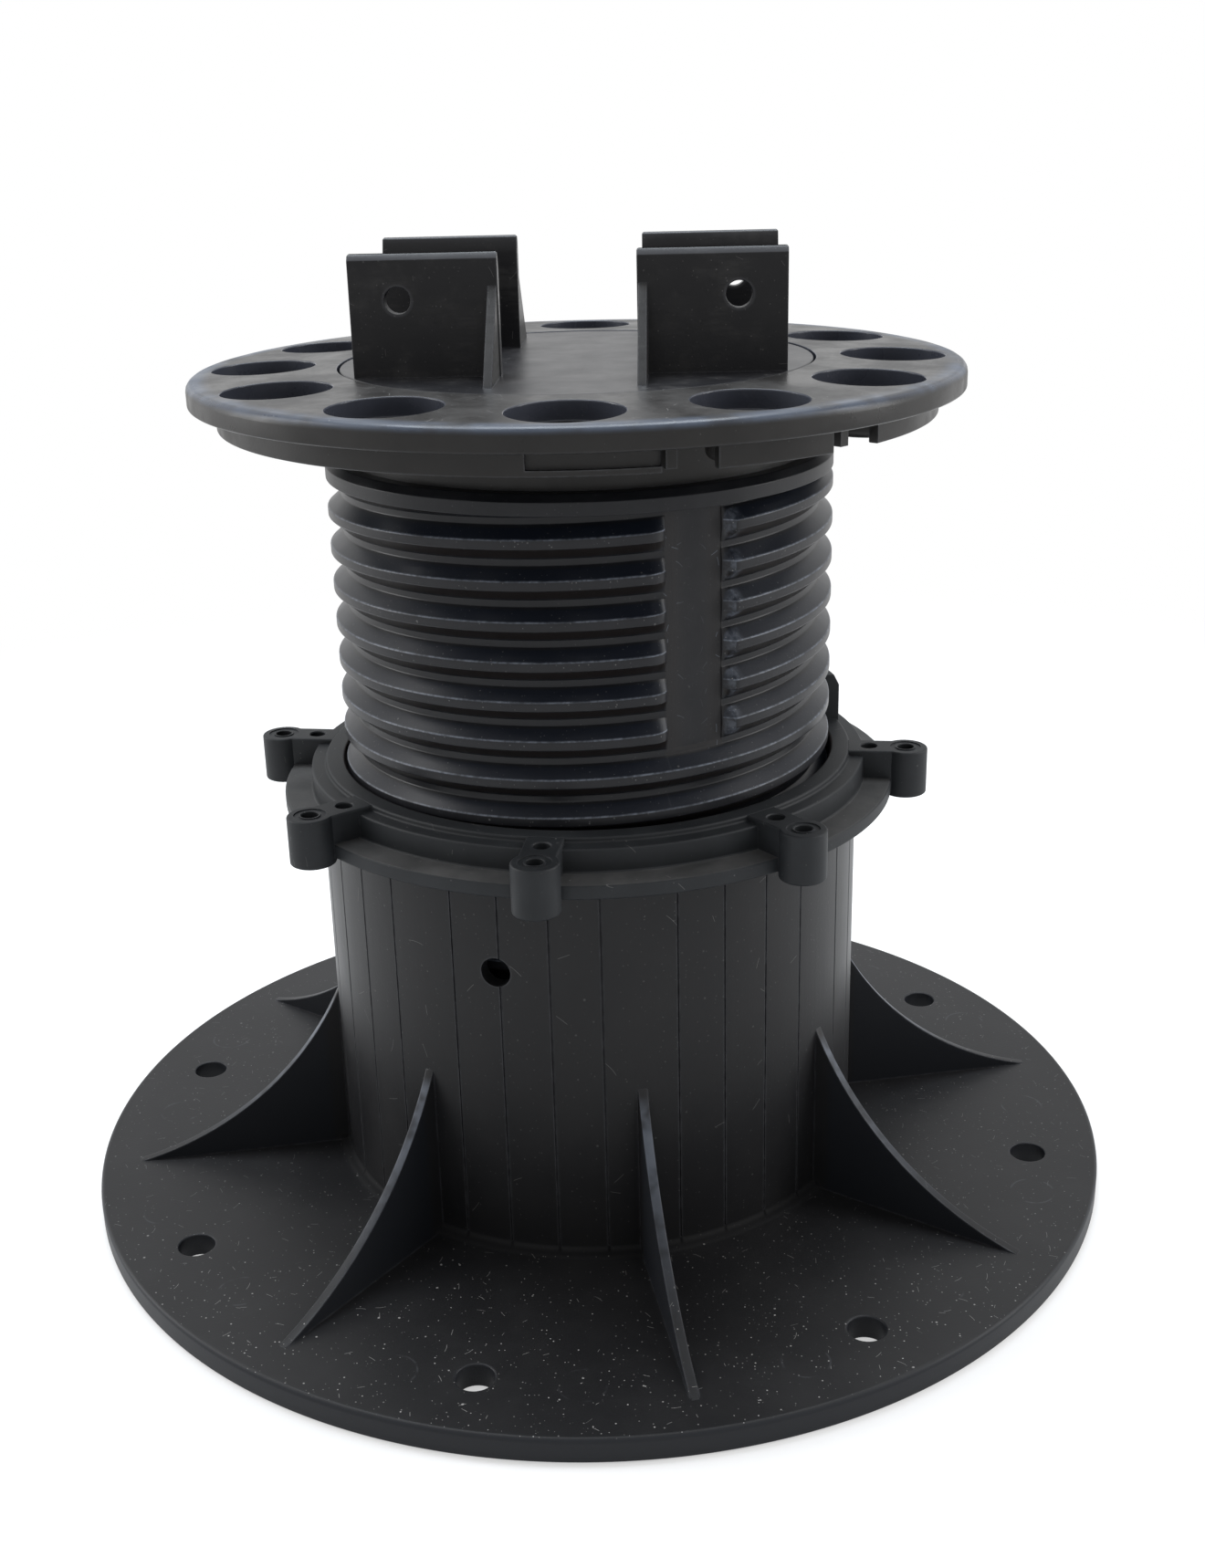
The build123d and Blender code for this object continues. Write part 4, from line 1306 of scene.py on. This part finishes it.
    def threaded_tube(self, size):
        """Tube whose wall follows the thread, from its lower end up into the band."""
        bottom = RISER[0].z
        top = size.band_bottom + size.crest_flat
        bm = bmesh.new()
        columns = []
        bearings = self.columns(size)
        for bearing in [*bearings, bearings[0] + math.tau]:
            cos, sin = math.cos(bearing), math.sin(bearing)
            column, last = [], None
            for radius, height in self.profile(size, bearing):
                if (radius, height) != last:
                    vertex = bm.verts.new((radius * cos, radius * sin, height))
                last = (radius, height)
                column.append(vertex)
            for height in (top, bottom):
                column.append(bm.verts.new((size.bore * cos, size.bore * sin, height)))
            columns.append(column)
        for here, there in zip(columns, columns[1:]):
            for i in range(len(here)):
                j = (i + 1) % len(here)
                corners = list(dict.fromkeys((here[i], there[i], there[j], here[j])))
                if len(corners) > 2:
                    bm.faces.new(corners)
        return made("threaded_tube", bm)

    def band(self, size):
        """The plain band above the thread."""
        crest = RISER[1].x
        top = RISER[1].z
        inner = size.bore
        edge = size.crest_round
        outline = rounded(
            [
                (inner, size.band_bottom),
                (crest, size.band_bottom),
                (crest, top - size.band_bevel),
                (crest - size.band_bevel, top),
                (inner, top),
            ],
            {1: edge / 2, 2: edge, 3: edge, 4: edge},
        )
        return turned("riser_band", outline, steps=240)


class PEDESTAL_OT_head(Operator):
    """Builds the head plate with its cups, skirt, ribs and neck"""

    bl_idname = "pedestal.head"
    bl_label = "Head plate"

    TURN_STEPS = 288

    def execute(self, context):
        settings = context.scene.pedestal
        size = settings.head
        radius = HEAD[1].x
        crown = size.rim_height + size.crown
        floor_bottom = size.recess_floor - size.floor_thickness
        stem_in = size.stem_radius - size.stem_wall
        skirt_in = size.skirt_radius - size.skirt_wall
        shoulder = RISER[1].z
        edge = size.edge / 4
        outline = rounded(
            [
                (size.pivot_bore, floor_bottom),
                (stem_in, floor_bottom),
                (stem_in, HEAD[0].z),
                (size.stem_radius, HEAD[0].z),
                (size.stem_radius, shoulder),
                (size.neck_radius, shoulder),
                (size.neck_radius, size.underside),
                (skirt_in, size.underside),
                (skirt_in, size.skirt_bottom),
                (size.skirt_radius, size.skirt_bottom),
                (size.skirt_radius, size.underside),
                (radius, size.underside),
                (radius, size.rim_height),
                (size.recess_radius, crown),
                (size.recess_radius, size.recess_floor),
                (size.pivot_bore, size.recess_floor),
            ],
            {
                **{corner: edge for corner in (2, 3, 6, 11)},
                **{corner: edge / 2 for corner in (8, 9, 13)},
                12: size.edge,
            },
        )
        head = turned("head_disc", outline, self.TURN_STEPS)
        count = MOUNTS["head_cups"]["dims"]["count"]
        united(head, self.ribs(size, count), self.bosses(size, count))
        cut(head, self.cups(size, count), self.windows(size))
        dressed(head, "column", "head_plate", self.look(size, settings.finish))
        return {"FINISHED"}

    def look(self, size, finish):
        """Brown-grey satin, dusty on top, with glossier walls in its cups that are painted pale as
        a reflection, and a painted bluish highlight on the rounded rim.
        """
        look = Surface("head_look")
        outside = HEAD[1].x * MILLIMETRES
        face = size.rim_height * MILLIMETRES
        underside = size.underside * MILLIMETRES
        flat = look.looking_up()
        top = flat * look.height.rises(face - 1.0, face)
        # Mask of the cups' walls, which are painted pale as a reflection
        cups = (1.0 - flat) * look.height.rises(underside, underside + 1.0)
        cups = cups * look.radius.rises(outside, outside - 1.0)
        blots = look.noise(11.0, detail=4.0)
        grain = look.noise(0.4, detail=3.0)
        specks = look.specks(cell=0.9, largest=0.18, density=0.35)
        specks = specks + look.specks(cell=2.4, largest=0.26, density=0.35)
        lint = look.fibres(look.x, look.y, cell=4.5, longest=1.4, width=0.06, density=0.4) * flat
        swirl_place = look.packed(look.radius * 1.6, look.bearing * 3.0, 0.0)
        swirls = look.noise(1.0, detail=3.0, place=swirl_place)
        dust = ((specks + 0.6 * lint) * (0.2 + 0.8 * flat) + 0.07 * top * blots).clamped()
        base = look.blend(blots.rises(0.3, 0.75), finish.head, finish.head_pale)
        # Painted reflection in the cups' walls
        base = look.blend(cups * 0.85, base, finish.cup)
        # Painted bluish highlight on the rounded rim
        rim = look.radius.rises(outside - 4.5, outside - 1.5)
        rim = rim * look.upward.rises(0.1, 0.7) * (0.3 + 0.7 * look.noise(9.0).rises(0.35, 0.6))
        base = look.blend(rim * 0.75, base, finish.rim)
        # Edge lightening: partly wear, partly painted highlight
        wear_and_highlight = look.edges(0.0005) * (0.4 + 0.6 * look.noise(2.0).rises(0.3, 0.65))
        base = look.blend(wear_and_highlight * 0.65, base, finish.wear_and_highlight)
        base = look.blend(dust * 0.5, base, finish.dust)
        rough = 0.26 + 0.2 * blots.rises(0.3, 0.7) - 0.1 * cups + 0.06 * top * swirls + 0.2 * dust
        relief = 0.7 * grain + 0.3 * swirls * top + 0.4 * dust
        return look.finished(base, rough, relief, depth=0.00002, specular=0.26)

    def bosses(self, size, count):
        """The rounded bosses under the cups."""
        low, sunk = size.boss_bottom, size.underside + ROOTING
        outline = [(0.0, low), (size.boss_radius, low), (size.boss_radius, sunk), (0.0, sunk)]
        boss = turned("cup_boss", rounded(outline, {1: size.boss_edge}), steps=48)
        moved(boss, x=circle_radius("head_cups"))
        return around(boss, count, size.cup_bearing)

    def ribs(self, size, count):
        """The ribs under the plate, between neck and skirt."""
        half = size.rib_thickness / 2
        rib = block(
            "under_rib",
            (size.neck_radius - ROOTING, -half, size.skirt_bottom + SKIN),
            (size.skirt_radius - size.skirt_wall + ROOTING, half, size.underside + ROOTING),
        )
        return around(rib, count, size.cup_bearing + math.pi / count)

    def cups(self, size, count):
        """Tool for the stepped cups, each a wide shallow bore over a smaller hole."""
        floor = size.rim_height - size.cup_depth
        hole = hole_radius("head_cups")
        edge = size.edge / 5
        wide = size.cup_radius + edge
        middle = circle_radius("head_cups")
        slope = size.crown / (HEAD[1].x - size.recess_radius)
        face = size.rim_height + slope * (HEAD[1].x - middle)
        outline = rounded(
            [
                (0.0, size.boss_bottom - OVERCUT),
                (hole, size.boss_bottom - OVERCUT),
                (hole, floor),
                (size.cup_radius, floor),
                (size.cup_radius, face - edge),
            ],
            {2: edge / 2, 3: edge},
        )
        for a in QUARTER:
            outline.append((wide - edge * math.cos(a), face - edge + edge * math.sin(a)))
        outline += [(wide, face + OVERCUT), (0.0, face + OVERCUT)]
        cup = turned("cup", outline, steps=72)
        moved(cup, z=-face)
        cup.data.transform(Matrix.Rotation(math.atan(slope), 4, "Y"))
        moved(cup, x=middle, z=face)
        return around(cup, count, size.cup_bearing)

    def windows(self, size):
        """Tools for the shallow panel, the slot and the notch of each half of the skirt."""
        inner = size.skirt_radius - size.skirt_wall - OVERCUT
        outer = size.skirt_radius + OVERCUT
        shallow = size.skirt_radius - size.panel_depth
        low = size.skirt_bottom - OVERCUT
        high = size.underside - SKIN
        notch_start = size.panel_sweep + size.slot_sweep + size.wall_sweep
        spans = [
            (shallow, size.skirt_bottom + size.panel_lip, 0.0, size.panel_sweep - MERGE / outer),
            (inner, low, size.panel_sweep, size.slot_sweep),
            (inner, low, notch_start, size.notch_sweep),
        ]
        tools = []
        for radius, bottom, start, sweep in spans:
            outline = [(radius, bottom), (outer, bottom), (outer, high), (radius, high)]
            tool = turned("window", outline, 16, size.window_bearing + start, sweep)
            tools.append(around(tool, 2, 0.0))
        return joined(*tools)


class PEDESTAL_OT_holder(Operator):
    """Builds the joist holder with its disc, pivot, panels and braces"""

    bl_idname = "pedestal.holder"
    bl_label = "Joist holder"

    TURN_STEPS = 288

    def execute(self, context):
        settings = context.scene.pedestal
        size = settings.holder
        holder = self.disc(size)
        united(holder, *self.panels(size))
        look = self.look(size, settings.finish)
        dressed(holder, "holder", "joist_holder", look)
        return {"FINISHED"}

    def look(self, size, finish):
        """Near-black satin, with patches of dust, and pale bevels on the panels that are painted
        highlights.
        """
        look = Surface("holder_look")
        disc = size.disc_top * MILLIMETRES
        outer = (size.channel / 2 + size.panel_thickness) * MILLIMETRES
        crown = HOLDER[1].z * MILLIMETRES
        flat = look.looking_up()
        raised = look.height.rises(disc + 0.2, disc + 0.6)
        braces = raised * look.y.absolute().rises(outer + 0.1, outer + 0.4)
        # Painted highlight on the panels' top bevels
        bevel = look.upward.near(0.6, 0.35) * look.height.rises(crown - 2.6, crown - 1.4)
        mount = MOUNTS["front_panel_holes"]
        from_x = look.x.absolute() - mount["dims"]["spacing_x_mm"] / 2
        from_z = look.height - mount["pos_m"][2] * MILLIMETRES
        rims = flat_length(from_x, from_z).near(mount["dims"]["hole_r_mm"] + 0.25, 0.4) * raised
        blots = look.noise(7.0, detail=5.0)
        grain = look.noise(0.4, detail=3.0)
        specks = look.specks(cell=0.8, largest=0.17, density=0.45)
        specks = specks + look.specks(cell=2.2, largest=0.26, density=0.4)
        upwards = look.y + look.height
        lint = look.fibres(look.x, upwards, cell=6.0, longest=1.2, width=0.05, density=0.3)
        wipe_place = look.packed(look.x * 0.12, look.y * 0.12, look.height * 0.9)
        wipes = look.noise(1.0, detail=4.0, place=wipe_place)
        patches = blots.rises(0.46, 0.66) * wipes.rises(0.35, 0.6)
        dust = specks * (0.25 + 0.5 * flat + 0.5 * patches) + 0.4 * lint + 0.08 * patches
        dust = dust.clamped()
        base = look.blend(blots.rises(0.3, 0.75), finish.holder, finish.holder_pale)
        base = look.blend(braces * 0.6, base, finish.head_pale)
        # Edge lightening: partly wear, partly painted highlight, with the painted bevel highlight
        # and the holes' pale rims
        wear_and_highlight = look.edges(0.00045) * (0.5 + 0.5 * look.noise(1.8).rises(0.3, 0.6))
        wear_and_highlight = (wear_and_highlight + 0.75 * bevel + 0.5 * rims).clamped()
        base = look.blend(wear_and_highlight * 0.7, base, finish.wear_and_highlight)
        base = look.blend(dust * 0.45, base, finish.dust)
        rough = 0.26 + 0.2 * wipes + 0.2 * dust
        relief = 0.7 * grain + 0.3 * wipes + 0.4 * dust
        return look.finished(base, rough, relief, depth=0.00002, specular=0.24)

    def disc(self, size):
        """The disc with its hollow, lipped pivot."""
        inner = size.pivot_radius - size.pivot_wall
        ceiling = size.disc_bottom + size.pivot_wall / 2
        lip = HOLDER[0].z
        outline = rounded(
            [
                (0.0, ceiling),
                (inner, ceiling),
                (inner, lip),
                (size.pivot_radius, lip),
                (size.pivot_radius + size.pivot_lip, lip + size.lip_height),
                (size.pivot_radius, lip + size.lip_height),
                (size.pivot_radius, size.disc_bottom),
                (size.disc_radius, size.disc_bottom),
                (size.disc_radius, size.disc_top),
                (0.0, size.disc_top),
            ],
            {7: size.disc_edge, 8: size.disc_edge},
        )
        return turned("holder_disc", outline, self.TURN_STEPS)

    def panels(self, size):
        """The four panels with their braces and screw holes, as one tool each."""
        quarter = self.panel(size)
        pieces = []
        for flip_x in (1, -1):
            for flip_y in (1, -1):
                copy = quarter.copy()
                copy.data = quarter.data.copy()
                copy.data.transform(Matrix.Diagonal((flip_x, flip_y, 1, 1)))
                if flip_x * flip_y < 0:
                    copy.data.flip_normals()
                bpy.context.scene.collection.objects.link(copy)
                pieces.append(copy)
        bpy.data.objects.remove(quarter)
        return pieces

    def panel(self, size):
        """One panel with its bevels, brace and screw hole."""
        inner = size.channel / 2
        outer = inner + size.panel_thickness
        top = HOLDER[1].z
        low = size.disc_top - ROOTING
        outline = [
            (inner, low),
            (outer, low),
            (outer, top - size.bevel_height),
            (outer - size.bevel_depth, top),
            (inner + size.lead_in_depth, top),
            (inner, top - size.lead_in_height),
        ]
        panel = prism("panel", outline, "X", size.panel_in, size.panel_out)
        middle = (size.panel_in + size.panel_out) / 2
        half = (size.panel_out - size.panel_in) / 2 - SKIN

        def upper_corner(co):
            return co.z > top - SKIN and abs(co.x - middle) > half

        bevelled(panel, size.corner_cut, upper_corner, 1)
        bevelled(panel, size.panel_edge)
        brace_low = size.panel_in + size.brace_start
        sunk = outer - ROOTING
        brace = prism(
            "brace",
            [
                (sunk, low),
                (outer + size.brace_reach, low),
                (outer + size.brace_reach, size.disc_top),
                (outer, size.disc_top + size.brace_rise),
                (sunk, size.disc_top + size.brace_rise),
            ],
            "X",
            brace_low,
            brace_low + size.brace_thickness,
        )

        def bare(co):
            return co.z > size.disc_top - SKIN and co.y > outer - SKIN

        bevelled(brace, size.panel_edge, bare)
        united(panel, brace)
        mount = MOUNTS["front_panel_holes"]
        spacing = mount["dims"]["spacing_x_mm"] / 2 / MILLIMETRES
        height = mount["pos_m"][2]
        radius = hole_radius("front_panel_holes")
        hole = flared_hole("screw_hole", radius, radius / 12, inner, outer)
        hole.data.transform(Matrix.Rotation(-math.pi / 2, 4, "X"))
        moved(hole, x=spacing, z=height)
        return cut(panel, hole)


class PEDESTAL_OT_stage(Operator):
    """Builds the pale floor, the soft lamps and the camera at the photograph's angle"""

    bl_idname = "pedestal.stage"
    bl_label = "Stage"

    # Height of the camera's sensor in millimetres, and its nearest distance in metres
    SENSOR_HEIGHT = 36.0
    CLIP_START = 0.01

    def execute(self, context):
        stage = context.scene.pedestal.stage
        self.floor(stage)
        self.lamps(context, stage)
        self.camera(context, stage)
        return {"FINISHED"}

    def floor(self, stage):
        """Pale floor that keeps the object's shadow and runs out into plain white."""
        bm = bmesh.new()
        bmesh.ops.create_grid(bm, x_segments=1, y_segments=1, size=stage.floor_size)
        floor = made("floor", bm)
        moved(floor, z=-stage.floor_gap)
        paper = Surface("floor_paper")
        white = opaque(stage.floor)
        lit = paper.node("ShaderNodeBsdfDiffuse", None, {"Color": white})
        glow = paper.node("ShaderNodeEmission", None, {"Color": white, "Strength": 1.0})
        seen = self.seen(paper)
        reach = stage.shadow_reach * MILLIMETRES
        near = paper.radius.rises(reach, reach / 2)
        glowing = seen * (1.0 - near * stage.shadow_share)
        mixed = paper.node("ShaderNodeMixShader", None, {0: glowing, 1: lit, 2: glow})
        paper.node("ShaderNodeOutputMaterial", None, {"Surface": mixed})
        floor.data.materials.append(paper.material)

    def seen(self, nodes):
        """1 for what the camera sees, straight or in a reflection, and 0 for light on the way."""
        rays = ("Is Camera Ray", "Is Glossy Ray", "Is Transmission Ray")
        parts = [nodes.node("ShaderNodeLightPath", output=ray) for ray in rays]
        return (parts[0] + parts[1] + parts[2]).clamped()

    def lamps(self, context, stage):
        """Two side lamps, one from above, and pale light from all round."""
        target = Vector((0.0, 0.0, stage.aim_height))
        lamps = [
            ("left_softbox", (-0.8, 0.1, 0.45), (0.3, 0.8), stage.side_power, stage.floor),
            ("right_softbox", (0.8, 0.0, 0.45), (0.3, 0.8), stage.side_power, stage.floor),
            ("top_softbox", (-0.05, 0.2, 0.9), (0.7, 0.4), stage.top_power, stage.top_colour),
        ]
        for name, place, size, power, tint in lamps:
            lamp = bpy.data.lights.new(name, "AREA")
            lamp.shape = "RECTANGLE"
            lamp.size, lamp.size_y = size
            lamp.energy = power
            lamp.color = tint
            holder = bpy.data.objects.new(name, lamp)
            holder.location = place
            holder.rotation_euler = (target - Vector(place)).to_track_quat("-Z", "Y").to_euler()
            context.scene.collection.objects.link(holder)
        world = bpy.data.worlds.new("studio")
        context.scene.world = world
        world.use_nodes = True
        sky = Nodes(world.node_tree)
        strength = stage.world_light + self.seen(sky) * (1.0 - stage.world_light)
        inputs = {"Color": opaque(stage.floor), "Strength": strength}
        background = sky.node("ShaderNodeBackground", None, inputs)
        sky.node("ShaderNodeOutputWorld", None, {"Surface": background})
        context.scene.view_settings.view_transform = "Standard"

    def camera(self, context, stage):
        """Camera at the place that was fitted to the photograph, looking along its axis."""
        bearing = Matrix.Rotation(stage.camera_bearing, 4, "Z")
        place = bearing @ Vector((0.0, -stage.camera_distance, stage.camera_height))
        aim = (
            Matrix.Rotation(stage.camera_bearing - stage.camera_yaw, 4, "Z")
            @ Matrix.Rotation(math.pi / 2 - stage.camera_pitch, 4, "X")
            @ Matrix.Rotation(-stage.camera_roll, 4, "Z")
        )
        camera = bpy.data.cameras.new("camera")
        camera.sensor_fit = "VERTICAL"
        camera.sensor_height = self.SENSOR_HEIGHT
        camera.lens = stage.lens
        camera.clip_start = self.CLIP_START
        holder = bpy.data.objects.new("camera", camera)
        holder.matrix_world = Matrix.Translation(place) @ aim
        context.scene.collection.objects.link(holder)
        context.scene.camera = holder


class PEDESTAL_PT_panel(Panel):
    """Lists the pieces of the pedestal, their sizes and their finish"""

    bl_idname = "PEDESTAL_PT_panel"
    bl_label = "Decking pedestal"
    bl_space_type = "VIEW_3D"
    bl_region_type = "UI"
    bl_category = "Pedestal"

    def draw(self, context):
        settings = context.scene.pedestal
        groups = (
            (PEDESTAL_OT_foot, settings.foot),
            (PEDESTAL_OT_ring, settings.ring),
            (PEDESTAL_OT_riser, settings.riser),
            (PEDESTAL_OT_head, settings.head),
            (PEDESTAL_OT_holder, settings.holder),
            (PEDESTAL_OT_stage, settings.stage),
        )
        for operator, group in groups:
            box = self.layout.box()
            box.operator(operator.bl_idname)
            self.list_values(box, group)
        box = self.layout.box()
        box.label(text="Finish")
        self.list_values(box, settings.finish)

    def list_values(self, box, group):
        """Lists the values of one group."""
        for key in group.__annotations__:
            box.prop(group, key)


CLASSES = (
    FootSizes,
    RingSizes,
    RiserSizes,
    HeadSizes,
    HolderSizes,
    Finish,
    StageSettings,
    PedestalSettings,
    PEDESTAL_OT_foot,
    PEDESTAL_OT_ring,
    PEDESTAL_OT_riser,
    PEDESTAL_OT_head,
    PEDESTAL_OT_holder,
    PEDESTAL_OT_stage,
    PEDESTAL_PT_panel,
)


def register():
    """Makes the settings, operators and panel known."""
    for item in CLASSES:
        bpy.utils.register_class(item)
    bpy.types.Scene.pedestal = PointerProperty(type=PedestalSettings)


def unregister():
    """Takes them away again."""
    del bpy.types.Scene.pedestal
    for item in reversed(CLASSES):
        bpy.utils.unregister_class(item)


def main():
    """Builds the stage and every piece."""
    register()
    bpy.ops.pedestal.stage()
    bpy.ops.pedestal.foot()
    bpy.ops.pedestal.ring()
    bpy.ops.pedestal.riser()
    bpy.ops.pedestal.head()
    bpy.ops.pedestal.holder()


if __name__ == "__main__":
    main()
